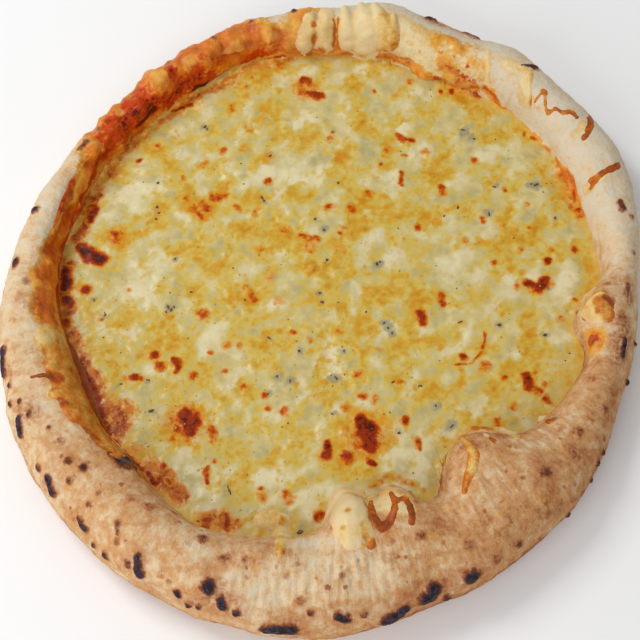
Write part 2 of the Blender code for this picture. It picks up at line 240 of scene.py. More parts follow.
# Charred blisters on the rim
CHAR_MARKS = (
    (1.0, (36, 210, 9)), (0.9, (15, 261, 8), (14, 266, 6)), (1.0, (4, 350, 8), (5, 375, 9)),
    (0.8, (10, 385, 7)), (0.8, (11, 403, 7)), (0.8, (20, 401, 6)), (0.8, (29, 414, 7)),
    (1.0, (19, 420, 10), (21, 434, 9)), (0.7, (38, 468, 9)), (0.9, (67, 406, 9)),
    (1.0, (48, 478, 9), (52, 492, 11)), (0.75, (48, 428, 7)), (0.8, (68, 461, 8)),
    (0.8, (83, 468, 9)), (0.75, (69, 481, 8)), (0.6, (88, 505, 9)),
    (1.0, (112, 454, 8), (120, 460, 20), (130, 464, 20)), (0.95, (80, 518, 6), (85, 528, 9)),
    (0.8, (94, 545, 7)), (1.0, (106, 555, 10)), (0.8, (128, 564, 9)),
    (1.0, (137, 556, 6), (140, 575, 10)), (0.65, (118, 523, 9), (117, 531, 7)),
    (1.0, (178, 594, 9)), (0.9, (188, 605, 8)), (0.9, (199, 607, 8)), (1.0, (208, 587, 15)),
    (0.95, (221, 599, 10), (222, 606, 9)), (1.0, (237, 613, 9)),
    (1.0, (266, 629, 12), (292, 629, 12)), (0.7, (310, 613, 8)),
    (1.0, (339, 617, 11), (345, 619, 11)), (0.75, (364, 615, 8)),
    (1.0, (388, 620, 16), (404, 610, 14)), (1.0, (427, 598, 20), (433, 590, 16)),
    (1.0, (446, 597, 10)), (1.0, (472, 577, 18)), (0.7, (202, 539, 10)), (0.6, (224, 560, 12)),
    (0.6, (243, 561, 7)), (0.6, (422, 536, 10)), (0.5, (470, 545, 12)), (0.6, (545, 472, 15)),
    (0.55, (578, 432, 14)), (0.5, (575, 453, 16)), (0.55, (605, 409, 12)),
    (0.7, (620, 203, 8), (622, 209, 8)), (0.6, (632, 217, 8)), (0.6, (634, 252, 7)),
    (0.65, (627, 286, 10), (626, 294, 8)), (0.95, (624, 340, 7), (622, 356, 7)),
    (0.4, (622, 318, 16), (623, 338, 26), (620, 360, 20)), (0.3, (616, 336, 16)),
    (0.24, (24, 300, 26)), (0.3, (626, 286, 26), (630, 300, 18)),
    (0.28, (430, 18, 26), (470, 34, 24)), (0.3, (404, 612, 44), (440, 600, 50)),
    (0.3, (212, 594, 40), (232, 606, 30)), (0.28, (28, 410, 34)), (0.3, (50, 484, 26)),
    (0.26, (136, 562, 26)), (0.3, (126, 462, 34)), (0.28, (472, 577, 34)), (0.28, (545, 472, 32)),
    (0.26, (340, 617, 30)), (0.26, (8, 370, 24)), (0.3, (290, 629, 40)), (0.26, (596, 460, 26)),
    (1.0, (634, 343, 6)), (1.0, (626, 382, 7)), (1.0, (603, 452, 7)), (0.9, (597, 463, 7)),
    (1.0, (590, 479, 8)), (0.9, (569, 515, 8)), (0.9, (430, 15, 10)), (0.8, (434, 21, 9)),
    (0.7, (466, 32, 9), (478, 36, 8)), (0.9, (522, 66, 7), (535, 68, 8)), (0.9, (294, 11, 8)),
    (0.6, (213, 39, 7)), (0.6, (99, 130, 7)), (0.6, (86, 143, 7), (80, 150, 5)),
    (0.7, (251, 22, 6)), (0.2, (592, 341, 14)), (0.5, (300, 600, 10)), (0.5, (160, 575, 9)),
    (0.5, (60, 440, 10)), (0.5, (497, 560, 12)), (0.6, (520, 545, 10)), (0.45, (150, 505, 14)),
    (0.45, (130, 498, 10)),
)

# Where sauce and oil soaked into the dough, orange
STAIN_MARKS = (
    (1.0, (302, 44, 20), (270, 42, 38), (243, 42, 62), (212, 56, 66), (182, 74, 64),
     (152, 96, 66), (128, 120, 62), (106, 146, 50), (92, 170, 32), (76, 204, 20), (62, 232, 24),
     (52, 256, 28), (46, 282, 30), (48, 312, 32), (60, 335, 24)),
    (0.8, (300, 52, 9), (330, 52, 9), (350, 54, 12), (372, 56, 13), (390, 58, 12), (408, 62, 9),
     (428, 73, 9)),
    (1.0, (337, 34, 10), (336, 48, 12)),
    (0.3, (440, 40, 26), (450, 58, 36), (456, 72, 44), (440, 80, 30)),
    (0.3, (468, 50, 30), (478, 70, 30)), (0.6, (442, 62, 16), (452, 74, 22)),
    (0.6, (398, 60, 8), (420, 72, 9), (440, 88, 9), (470, 96, 9)),
    (0.75, (430, 78, 14), (446, 84, 20), (462, 86, 18), (476, 88, 10)),
    (0.55, (436, 36, 10), (452, 40, 12), (462, 52, 12)), (0.15, (408, 32, 22), (418, 54, 20)),
    (0.6, (306, 22, 50), (326, 40, 50), (300, 48, 40)),
    (0.8, (488, 90, 14), (500, 106, 9), (517, 122, 9), (534, 137, 13), (548, 150, 10)),
    (0.8, (556, 160, 10), (570, 182, 14), (578, 206, 18), (586, 232, 12), (592, 255, 10),
     (596, 285, 8)),
    (0.7, (160, 489, 5), (176, 503, 5), (190, 516, 4)), (0.65, (593, 342, 26)),
    (0.8, (592, 300, 30)), (0.9, (68, 372, 34), (84, 396, 30), (98, 428, 26), (116, 450, 18)),
    (0.8, (46, 345, 12), (56, 372, 12)), (1.0, (112, 455, 14), (140, 474, 12), (158, 488, 9)),
    (0.8, (316, 504, 8), (318, 524, 8)), (0.4, (368, 540, 14)),
    (0.5, (452, 440, 16), (444, 458, 10)), (0.6, (441, 476, 10)), (0.5, (420, 492, 12)),
)

# Where sauce gathered in hollows, red. The strongest strokes, along the foot of the back left
# wall and behind the front left crest, also paint the shade of those crevices as darkest red
POOL_AND_SHADE_MARKS = (
    (0.45, (286, 46, 12)), (0.55, (272, 46, 16), (255, 55, 18), (243, 62, 12)),
    (0.6, (228, 48, 10), (240, 46, 10)),
    (0.85, (212, 76, 18), (196, 78, 26), (182, 88, 22), (168, 100, 22)), (0.9, (172, 73, 14)),
    (1.2, (206, 82, 11), (192, 90, 8)),
    (0.9, (162, 98, 20), (146, 106, 26), (128, 122, 26), (112, 142, 20), (98, 162, 16)),
    (1.2, (154, 110, 10), (134, 128, 7)),
    (0.7, (94, 172, 16), (84, 192, 12), (74, 214, 12), (66, 240, 12), (58, 262, 12),
     (56, 290, 12), (62, 316, 10)),
    (0.5, (146, 88, 14), (112, 120, 16), (100, 136, 12)), (0.45, (220, 62, 12), (200, 58, 10)),
    (0.8, (437, 78, 10)), (0.55, (450, 70, 8), (462, 76, 9), (474, 82, 8)),
    (0.8, (458, 82, 10), (450, 90, 9)), (0.4, (440, 52, 8)), (0.4, (456, 56, 8)),
    (0.5, (446, 66, 6)), (0.5, (468, 66, 7)), (0.7, (488, 90, 9)), (0.7, (578, 206, 9)),
    (0.75, (524, 132, 8), (536, 139, 8)), (0.75, (612, 300, 9)),
    (0.5, (570, 185, 8), (586, 232, 7)),
    (1.0, (69, 341, 9), (76, 357, 11), (82, 372, 12), (87, 388, 12), (94, 411, 11),
     (100, 422, 10), (112, 438, 8), (136, 466, 6), (158, 484, 5)),
    (0.7, (314, 505, 7), (317, 522, 6)), (0.7, (441, 480, 4)), (1.1, (592, 341, 12)),
)

# Where a thin skin of cheese lies on the dough. Over the stains on the back left lumps it also
# paints a pale highlight
FILM_MARKS = (
    (0.9, (158, 80, 16)), (0.8, (190, 60, 20)), (0.9, (226, 58, 22), (236, 50, 24)),
    (0.7, (118, 112, 14)), (0.7, (270, 34, 22)), (0.6, (96, 148, 12)),
    (0.9, (398, 30, 34), (414, 44, 44), (440, 56, 50), (462, 74, 44)),
    (0.9, (396, 54, 24), (430, 68, 24), (460, 86, 20)), (0.9, (300, 32, 40), (324, 32, 40)),
    (0.8, (488, 51, 9), (487, 88, 10)), (0.8, (508, 64, 18), (522, 72, 20), (530, 100, 14)),
    (0.7, (576, 134, 14), (584, 124, 10)), (0.6, (522, 100, 20)),
    (0.7, (600, 176, 12), (586, 190, 14)), (0.8, (590, 256, 10), (594, 290, 12)),
    (0.8, (586, 302, 28)), (0.8, (344, 498, 34), (346, 524, 24), (366, 540, 14)),
    (0.95, (380, 500, 30), (402, 504, 26)), (0.8, (420, 490, 16)),
    (0.8, (300, 524, 20), (276, 520, 26), (258, 528, 16)), (0.7, (460, 440, 18), (446, 460, 14)),
    (0.7, (488, 430, 16), (516, 436, 12)), (0.7, (44, 338, 22)), (0.6, (52, 392, 20)),
)

# Where the dough stayed floury
FLOUR_MARKS = (
    (0.6, (225, 592, 26), (262, 586, 40), (300, 582, 46), (340, 580, 46), (375, 572, 40),
     (405, 560, 26)),
    (0.4, (424, 500, 36), (462, 502, 40), (500, 484, 44)), (0.6, (550, 430, 26), (520, 446, 20)),
    (0.6, (300, 540, 26), (330, 545, 18)), (0.5, (60, 500, 20)), (0.5, (40, 410, 16)),
    (0.6, (200, 552, 20)),
)


class Wire:
    """An output of a node. Sums on wires add Math nodes, and add() puts in any other."""

    def __init__(self, tree, socket=None):
        self.tree = tree
        self.socket = socket

    def add(self, kind, settings=(), inputs=(), output=0):
        node = self.tree.nodes.new(kind)
        for name, value in dict(settings).items():
            if name == "stops":
                ramp = node.color_ramp
                while len(ramp.elements) < len(value):
                    ramp.elements.new(1.0)
                for element, (place, colour) in zip(ramp.elements, value):
                    element.position, element.color = place, colour
            else:
                setattr(node, name, value)
        for name, value in dict(inputs).items():
            if isinstance(value, Wire):
                self.tree.links.new(value.socket, node.inputs[name])
            else:
                node.inputs[name].default_value = value
        return Wire(self.tree, node.outputs[output])

    def sum(self, operation, first, second):
        return self.add("ShaderNodeMath", {"operation": operation}, {0: first, 1: second})

    def __add__(self, other):
        return self.sum("ADD", self, other)

    def __sub__(self, other):
        return self.sum("SUBTRACT", self, other)

    def __rsub__(self, other):
        return self.sum("SUBTRACT", other, self)

    def __mul__(self, other):
        return self.sum("MULTIPLY", self, other)

    def __rtruediv__(self, other):
        return self.sum("DIVIDE", other, self)

    __radd__, __rmul__ = __add__, __mul__

    def top(self, other):
        """The greater of the two."""
        return self.sum("MAXIMUM", self, other)

    def swing(self, amount):
        """This noise about its middle, times an amount."""
        return (self - 0.5) * amount

    def ramp(self, low, high, start=0.0, end=1.0):
        """Runs smoothly from start to end as this runs from low to high."""
        return self.add("ShaderNodeMapRange", {"interpolation_type": "SMOOTHSTEP"}, {
            "Value": self, "From Min": low, "From Max": high, "To Min": start, "To Max": end})

    def scaled(self, x, y, z):
        """A vector stretched along its three axes."""
        return self.add("ShaderNodeVectorMath", {"operation": "MULTIPLY"}, {0: self, 1: (x, y, z)})

    def grain(self, size, detail=2.0, roughness=0.5, distortion=0.0):
        """Soft noise of a size on this place, from 0 to 1."""
        return self.add("ShaderNodeTexNoise", (), {
            "Vector": self, "Scale": 1 / size, "Detail": detail, "Roughness": roughness,
            "Distortion": distortion})

    def cells(self, size, output="Distance", feature="F1"):
        """The distance to the nearest of scattered points, in sizes, or to a cell's edge."""
        return self.add("ShaderNodeTexVoronoi", {"feature": feature}, {
            "Vector": self, "Scale": 1 / size}, output)

    def spots(self, size, share, widest, soft):
        """Round spots of many sizes on a share of the scattered points, 1 in their middles."""
        grown = (self.cells(size, "Color") - (1 - share)) * (widest / share)
        return (grown - self.cells(size)).ramp(0, soft)

    def turned(self, angle, stretch):
        """This place turned about the upright axis, then drawn out along its first axis."""
        return self.add("ShaderNodeVectorRotate", {"rotation_type": "Z_AXIS"}, {
            "Vector": self, "Angle": angle}).scaled(1 / stretch, 1, 1)

    def warped(self, size, far):
        """This place moved about by soft noise."""
        drift = self.add("ShaderNodeTexNoise", (), {
            "Vector": self, "Scale": 1 / size, "Detail": 2.0}, "Color")
        return self.add("ShaderNodeVectorMath", {"operation": "MULTIPLY_ADD"}, {
            0: drift, 1: (far, far, far), 2: self})

    def mix(self, first, second):
        """The first colour where this is 0 and the second where it is 1."""
        return self.add("ShaderNodeMix", {"data_type": "RGBA"}, {0: self, 6: first, 7: second}, 2)

    def recall(self, name, vector=False):
        """What remember() kept for a mesh, inside a material."""
        output = "Vector" if vector else "Fac"
        return self.add("ShaderNodeAttribute", {"attribute_name": name}, (), output)

    def keep(self, name, kind="FLOAT"):
        """What remember() kept for a mesh, inside a shape's tree."""
        return self.add("GeometryNodeInputNamedAttribute", {"data_type": kind}, {"Name": name})

    def pushed(self, along, far):
        """This shape with each point moved along a vector, by a number of its lengths."""
        push = along.add("ShaderNodeVectorMath", {"operation": "SCALE"}, {0: along, "Scale": far})
        return self.add("GeometryNodeSetPosition", (), {"Geometry": self, "Offset": push})


def shade(red, green, blue):
    """A colour from its three values on a screen, 0 to 255."""
    def linear(value):
        value /= 255
        return value / 12.92 if value <= 0.04045 else ((value + 0.055) / 1.055) ** 2.4
    return linear(red), linear(green), linear(blue), 1.0


def finish(name, **constants):
    """A new material, its shader node, and the wire of places on the object."""
    material = bpy.data.materials.new(name)
    material.use_nodes = True
    tree = material.node_tree
    shader = tree.nodes["Principled BSDF"]
    for label, value in constants.items():
        shader.inputs[label.replace("_", " ").title().replace("Ior", "IOR")].default_value = value
    start = Wire(tree)
    return material, shader, start.add("ShaderNodeTexCoord", output="Object")


def feed(shader, **wires):
    """Joins wires to the shader's colour, roughness, coat or relief."""
    for label, wire in wires.items():
        wire.tree.links.new(wire.socket, shader.inputs[label.replace("_", " ").title()])


def bumped(height, depth, strength):
    """Fine relief for a finish, from a height between 0 and 1."""
    return height.add("ShaderNodeBump", (), {
        "Height": height, "Distance": depth, "Strength": strength})


def shape_tree(name, sizes):
    """A tree that works a mesh, with named inputs for its sizes and its material. Returns the
    wires of its inputs and a function that closes it and returns the tree."""
    tree = bpy.data.node_groups.new(name, "GeometryNodeTree")
    tree.interface.new_socket("Geometry", in_out="INPUT", socket_type="NodeSocketGeometry")
    tree.interface.new_socket("Material", in_out="INPUT", socket_type="NodeSocketMaterial")
    for label in sizes:
        tree.interface.new_socket(label, in_out="INPUT", socket_type="NodeSocketFloat")
    tree.interface.new_socket("Geometry", in_out="OUTPUT", socket_type="NodeSocketGeometry")
    entry = tree.nodes.new("NodeGroupInput")
    inputs = {socket.name: Wire(tree, socket) for socket in entry.outputs if socket.name}

    def close(shape):
        real = shape.add("GeometryNodeRealizeInstances", (), {"Geometry": shape})
        done = real.add("GeometryNodeSetMaterial", (), {
            "Geometry": real, "Material": inputs["Material"]})
        leave = tree.nodes.new("NodeGroupOutput")
        tree.links.new(done.socket, leave.inputs[0])
        return tree

    return inputs, close


def worked(name, mesh, tree, material, sizes):
    """A new object whose plain mesh is what the tree makes of a mesh."""
    piece = bpy.data.objects.new(name, mesh)
    bpy.context.scene.collection.objects.link(piece)
    modifier = piece.modifiers.new("shape", "NODES")
    modifier.node_group = tree
    for socket in tree.interface.items_tree:
        if socket.in_out == "INPUT" and socket.name == "Material":
            modifier[socket.identifier] = material
        elif socket.in_out == "INPUT" and socket.name in sizes:
            modifier[socket.identifier] = sizes[socket.name]
    graph = bpy.context.evaluated_depsgraph_get()
    made = bpy.data.meshes.new_from_object(piece.evaluated_get(graph))
    piece.modifiers.remove(modifier)
    piece.data = made
    made.name = name
    made.shade_smooth()
    return piece


def remember_soaking(mesh, points):
    """Where oil and sauce soaked in, with painted crevice shade among the pools, and the lumps
    that rise there.
    """
    remember(mesh, "stain", marked(points, STAIN_MARKS, crust_solid, SOAK_WOBBLE))
    remember(mesh, "pool", marked(points, POOL_AND_SHADE_MARKS, crust_solid, SOAK_WOBBLE))
    remember(mesh, "knob", [
        noise.noise(Vector(point) / KNOB_SIZE) + 0.5 * noise.noise(Vector(point) / SMALL_KNOB_SIZE)
        for point in points])


crust_solid = tree_of(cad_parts["crust"])
skin = rim_grid(crust_solid)
foot, heel = skin[:, 0], skin[:, -1]
rings = [foot * (1, 1, 0) + (0, 0, BASE_TOP)]
rings += [skin[:, row] for row in range(ROWS)]
rings += [heel * (share, share, 0) for share in UNDERSIDE_RINGS]
dough_mesh = closed_mesh("crust_skin", rings, (0, 0, BASE_TOP), (0, 0, 0))

points = coordinates(dough_mesh)
compass = np.arctan2(points[:, 1], points[:, 0])
# How far each point lies across the band from the foot of the inner wall
across = np.concatenate((
    [0], np.zeros(SPOKES),
    np.concatenate([np.linalg.norm(skin[:, max(row, 1)] - skin[:, max(row, 1) - 1], axis=1) * row
                    for row in range(ROWS)]),
    np.full(SPOKES * len(UNDERSIDE_RINGS) + 1, BEYOND_BAND)))
band = np.column_stack((BAND_RADIUS * np.cos(compass), BAND_RADIUS * np.sin(compass), across))
remember(dough_mesh, "band", band)
low_down = np.clip((BROWNER_BELOW - points[:, 2]) / RIM_CORE, 0, 1)
# How browned the dough is, which at the right and the front right also paints its shade
remember(dough_mesh, "browned", around(BROWNED_AND_SHADED, compass) * (1 + BROWNER_BY * low_down))
remember(dough_mesh, "char", marked(points, CHAR_MARKS, crust_solid, CHAR_WOBBLE))
remember_soaking(dough_mesh, points)
remember(dough_mesh, "film", marked(points, FILM_MARKS, crust_solid, SOAK_WOBBLE))
remember(dough_mesh, "flour", marked(points, FLOUR_MARKS, crust_solid, FLOUR_WOBBLE))
remember(dough_mesh, "free", np.clip((points[:, 2] - FLAT_BELOW) / FREE_OVER, 0, 1))
inner_share = np.clip(1 - (np.arange(len(rings)) - 1) / (INNER_SHARE * ROWS), 0, 1)
remember(dough_mesh, "wall", np.concatenate(([1], np.repeat(inner_share, SPOKES), [0])))


def dough_relief():
    """Swells, lumps and lines on the dough's skin, with raised charred blisters and the
    big lumps of the soaked side."""
    sizes, close = shape_tree("dough relief", (
        "Swell Size", "Swell Height", "Lump Size", "Lump Height", "Pit Size", "Pit Depth",
        "Line Size", "Line Depth", "Fold Size", "Fold Height", "Blister Height", "Knob Height"))
    start = sizes["Geometry"]
    place = start.add("GeometryNodeInputPosition")
    normal = start.add("GeometryNodeInputNormal")
    band_place = start.keep("band", "FLOAT_VECTOR")

    def bumps(size, height, where=place, detail=2.0):
        return where.grain(sizes[size], detail).swing(2) * sizes[height]

    char, stain, flour = place.keep("char"), place.keep("stain"), place.keep("flour")
    lines = bumps("Line Size", "Line Depth", band_place.scaled(1, 1, 0.2)) * (flour * 3 + 0.4)
    folds = bumps("Fold Size", "Fold Height", band_place.scaled(1, 1, 0.25))
    folds = folds * place.keep("wall").ramp(0, 0.6)
    knobs = place.keep("knob") * stain.ramp(0.15, 0.6) * sizes["Knob Height"]
    blister = char.ramp(0.3, 0.9) * sizes["Blister Height"]
    relief = (bumps("Swell Size", "Swell Height") + bumps("Lump Size", "Lump Height")
              + bumps("Pit Size", "Pit Depth", detail=3.0) + lines + folds + knobs + blister)
    return close(start.pushed(normal, relief * place.keep("free")))


OIL_EDGE, OIL_GOLD_HIGHLIGHT = shade(224, 160, 54), shade(236, 168, 60)
OIL_ORANGE, OIL_BROWN = shade(214, 110, 8), shade(188, 76, 6)
SAUCE_BRIGHT, SAUCE_RED, SAUCE_DARK_AND_SHADE = shade(218, 76, 4), shade(172, 36, 0), shade(92, 20, 2)


def soaked(place, under_colour):
    """Colour and wetness of what oil and sauce soaked: orange on the lumps, with their tops
    painted paler gold as a highlight, red in the hollows between them, darkest where the pool
    marks also paint the shade of crevices, over the colour of dry dough."""
    stain, pool, knob = place.recall("stain"), place.recall("pool"), place.recall("knob")
    blots, fine = place.grain(7 * MM, 4, 0.6), place.grain(2.2 * MM, 4, 0.6)
    soak = stain + blots.swing(1.1) + fine.swing(0.9)
    hollow = knob * -0.8 + fine.swing(1.4) + blots.swing(1.8) + 0.06
    # The palest gold, on the tops of the lumps, is a painted highlight
    oily = hollow.ramp(-1.0, 0.0).mix(OIL_GOLD_HIGHLIGHT, OIL_ORANGE)
    oily = hollow.ramp(-0.1, 0.7).mix(oily, OIL_BROWN)
    oily = soak.ramp(0.35, 0.9).mix(OIL_EDGE, oily)
    colour = (soak.ramp(0.12, 0.42) * 0.95).mix(under_colour, oily)
    red = pool * 1.1 + (blots.swing(1.4) + fine.swing(1.2) + hollow * 0.2) * pool.ramp(0, 0.3)
    colour = (red.ramp(0.24, 0.72) * 0.95).mix(colour, fine.mix(SAUCE_BRIGHT, SAUCE_RED))
    # Darkest red where the pool marks are strongest: sauce, and the painted shade of crevices
    colour = red.ramp(0.85, 1.35).mix(colour, SAUCE_DARK_AND_SHADE)
    return colour, soak.ramp(0.3, 0.6).top(red.ramp(0.4, 0.6))


DOUGH_PALE, DOUGH_CREAM = shade(217, 203, 178), shade(220, 192, 152)
DOUGH_TAN, DOUGH_BROWN, FRECKLE = shade(200, 148, 98), shade(162, 96, 54), shade(124, 58, 28)
FILM_GOLD, FILM_PALE, FILM_AND_HIGHLIGHT = shade(216, 168, 76), shade(230, 210, 158), shade(238, 182, 92)
SINGED, SCORCHED, SOOT, ASH_AND_SHEEN = (
    shade(182, 116, 74), shade(112, 58, 36), shade(34, 26, 30), shade(70, 60, 76))


def dough_finish():
    """Pale floury skin that turns tan and freckled, with char and stains. It is darker at the
    right and front right as painted shade, with painted highlights on the soaked lumps and the
    char.
    """
    material, shader, place = finish("baked_dough", specular_ior_level=0.12, coat_roughness=0.2)
    browned, char, flour = place.recall("browned"), place.recall("char"), place.recall("flour")
    film, stain = place.recall("film"), place.recall("stain")
    band = place.recall("band", vector=True)
    clouds, mottle = place.grain(17 * MM, 3), place.warped(5 * MM, 4 * MM).grain(6 * MM, 5, 0.65)
    fine, dust = place.grain(1.9 * MM, 4, 0.6), place.grain(0.7 * MM, 2)
    fibre = band.scaled(1, 1, 0.3).grain(2.2 * MM, 3, 0.6)
    # heat: browning, which at the right and the front right is also painted shade
    heat = browned + clouds.swing(0.9) + mottle.swing(1.8) + fibre.swing(0.45)
    heat = heat + fine.swing(0.35) + dust.swing(0.12) - flour * 0.45
    colour = heat.ramp(0.0, 0.5).mix(DOUGH_PALE, DOUGH_CREAM)
    colour = heat.ramp(0.35, 0.95).mix(colour, DOUGH_TAN)
    colour = heat.ramp(0.85, 1.4).mix(colour, DOUGH_BROWN)
    # freckles with soft rims
    moved = place.warped(2.5 * MM, 2 * MM)
    patchy = (browned + clouds.swing(1.4)).ramp(0.3, 0.9)
    freckle = moved.spots(8 * MM, 0.66, 0.55, 0.32).top(moved.spots(4.5 * MM, 0.6, 0.5, 0.3) * 0.8)
    colour = (freckle.ramp(0, 0.6) * patchy * 0.75).mix(colour, DOUGH_BROWN)
    colour = (freckle.ramp(0.5, 1) * patchy * 0.6).mix(colour, FRECKLE)
    # a film of melted cheese and oil
    thin = film + mottle.swing(1.1) + fine.swing(0.3)
    cheesy = (thin + clouds.swing(1.5)).ramp(0.4, 1.0).mix(FILM_GOLD, FILM_PALE)
    colour = (thin.ramp(0.3, 0.65) * 0.8).mix(colour, cheesy)
    colour, wet = soaked(place, colour)
    # Pale gold where film meets stain on the back left lumps: a cheese film and a painted
    # highlight
    colour = ((film * stain + (mottle - 0.5)).ramp(0.3, 0.9) * 0.6).mix(colour, FILM_AND_HIGHLIGHT)
    # char: soot mottled with a paler bluish grey that is partly ash and partly painted sheen
    burnt = char + (fine.swing(0.8) + mottle.swing(1.0)) * char.ramp(0, 0.4)
    ash_and_sheen = fine.ramp(0.4, 0.65).mix(SOOT, ASH_AND_SHEEN)
    colour = (burnt.ramp(0.0, 0.45) * 0.75).mix(colour, SINGED)
    colour = burnt.ramp(0.28, 0.72).mix(colour, SCORCHED)
    colour = burnt.ramp(0.62, 0.92).mix(colour, ash_and_sheen)
    wet = wet.top(thin.ramp(0.3, 0.6) * 0.7)
    relief = fine * 0.8 + dust * 0.3 + fibre * 0.7 + mottle * 0.6
    feed(shader, base_color=colour, roughness=0.88 - wet * 0.48 - burnt.ramp(0.5, 0.8) * 0.25,
         coat_weight=wet * 0.1, normal=bumped(relief, 0.7 * MM, 0.8))
    return material


crust = worked("crust_skin", dough_mesh, dough_relief(), dough_finish(), {
    "Swell Size": 24 * MM, "Swell Height": 0.9 * MM, "Lump Size": 8 * MM, "Lump Height": 0.65 * MM,
    "Pit Size": 3 * MM, "Pit Depth": 0.35 * MM, "Line Size": 2.7 * MM, "Line Depth": 0.85 * MM,
    "Fold Size": 9 * MM, "Fold Height": 0.9 * MM,
    "Blister Height": 1.4 * MM, "Knob Height": KNOB_HEIGHT})
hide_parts("crust")
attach(crust, "root")
crust_tree = tree_of(crust)

# ---------------------------------------------------------------- tomato sauce
# A thin layer of crushed cooked tomato under the cheese. It climbs the rim's inner wall at
# the back left, where it lies in the hollows between lumps of dough, dark and oily.

SAUCE_ROWS = 56
SAUCE_THICK = 0.9 * MM
SAUCE_SEARCH = 3 * MM
# How the sauce rises out of the dough where it lies bare, in thicknesses
SAUCE_RISE, SAUCE_HIDDEN, RIPPLE_RISE = 3.6, 3.0, 0.25
RIPPLE_SIZE = 7 * MM
SAUCE_BACK = 3.4 * MM
BARE_SMOOTHING_ROUND, BARE_SMOOTHING_ACROSS = 8, 6
FLAT_SHARE = 0.97
SAUCE_TOP, SAUCE_LOW = BASE_TOP + 1.4 * MM, BASE_TOP + 0.4 * MM


def grid_normals(grid):
    """Normals of a closed band of points, pointing out of the rim."""
    round_rim = np.roll(grid, -1, 0) - np.roll(grid, 1, 0)
    over = np.gradient(grid, axis=1)
    normals = np.cross(over, round_rim)
    return normals / np.linalg.norm(normals, axis=2, keepdims=True)


sauce_solid = tree_of(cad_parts["tomato_sauce"])
wall = skin[:, :SAUCE_ROWS]
wall_out = grid_normals(skin)[:, :SAUCE_ROWS]
covered = np.zeros((SPOKES, SAUCE_ROWS))
for spoke in range(SPOKES):
    for row in range(SAUCE_ROWS):
        start, out = Vector(wall[spoke, row]), Vector(wall_out[spoke, row])
        if sauce_solid.ray_cast(start, out, SAUCE_SEARCH)[0]:
            covered[spoke, row] = 1
covered = smoothed(covered[..., None], BARE_SMOOTHING_ROUND, 0, True)
covered = smoothed(covered, BARE_SMOOTHING_ACROSS, 1, False)[..., 0]
ripple = np.array([noise.noise(Vector(point) / RIPPLE_SIZE) for point in wall.reshape(-1, 3)])
ripple = ripple.reshape(covered.shape)
lift = (covered * SAUCE_RISE - SAUCE_HIDDEN + ripple * RIPPLE_RISE) * SAUCE_THICK
front = wall + wall_out * lift[..., None]
rear = wall - wall_out * SAUCE_BACK
sauce_rings = [front[:, row] for row in range(SAUCE_ROWS)]
# Its hidden side needs only every second row
sauce_rings += [rear[:, row] for row in range(SAUCE_ROWS - 1, -1, -2)]
flat_foot = foot * (FLAT_SHARE, FLAT_SHARE, 0)
sauce_rings = [flat_foot + (0, 0, SAUCE_TOP), *sauce_rings, flat_foot + (0, 0, SAUCE_LOW)]
sauce_mesh = closed_mesh("sauce_layer", sauce_rings, (0, 0, SAUCE_TOP), (0, 0, SAUCE_LOW))


def sauce_relief():
    """The lumps of the dough beneath, and pulp."""
    sizes, close = shape_tree("sauce relief", ("Pulp Size", "Pulp Height", "Knob Height"))
    start = sizes["Geometry"]
    place = start.add("GeometryNodeInputPosition")
    normal = start.add("GeometryNodeInputNormal")
    pulp = place.grain(sizes["Pulp Size"]).swing(sizes["Pulp Height"])
    knobs = place.keep("knob") * place.keep("stain").ramp(0.15, 0.6) * sizes["Knob Height"]
    return close(start.pushed(normal, pulp + knobs))


PULP_ORANGE, PULP_RED = shade(206, 104, 26), shade(168, 50, 6)


def sauce_finish():
    """Orange with oil on the lumps, red where it is thick, with a wet shine."""
    material, shader, place = finish("cooked_tomato", specular_ior_level=0.15, coat_weight=0.12,
                                     coat_roughness=0.15)
    pulp, fine = place.grain(4 * MM, 3, 0.6), place.grain(1.5 * MM, 3)
    colour = soaked(place, pulp.ramp(0.35, 0.65).mix(PULP_ORANGE, PULP_RED))[0]
    feed(shader, base_color=colour, roughness=0.5 - pulp * 0.3,
         normal=bumped(pulp + fine * 0.6, 0.6 * MM, 0.6))
    return material


remember_soaking(sauce_mesh, coordinates(sauce_mesh))
sauce = worked("sauce_layer", sauce_mesh, sauce_relief(), sauce_finish(), {
    "Pulp Size": 3 * MM, "Pulp Height": 0.5 * MM, "Knob Height": KNOB_HEIGHT})
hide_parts("tomato_sauce")
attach(sauce, "root")

# ---------------------------------------------------------------- melted cheese
# Four cheeses melted into one uneven pool: pale curds, yellow butterfat, grey-green blue
# cheese, and blisters that browned. It lies on the sauce and clings to the rim's wall.

CHEESE_CELLS = 300
CHEESE_OVERLAP = 0.9 * MM
CHEESE_RIM_LEVEL = 8.6 * MM
CHEESE_UNDER = 4.6 * MM
CLING_HEIGHT = 0.5 * MM
CLING_WIDTH = 3 * MM
INSIDE_EDGE = 3.5 * MM
LEVEL_SMOOTHING = 12
WALL_BAND = 9 * MM
CHEESE_WOBBLE = 1.6 * MM
HIGH = 60 * MM

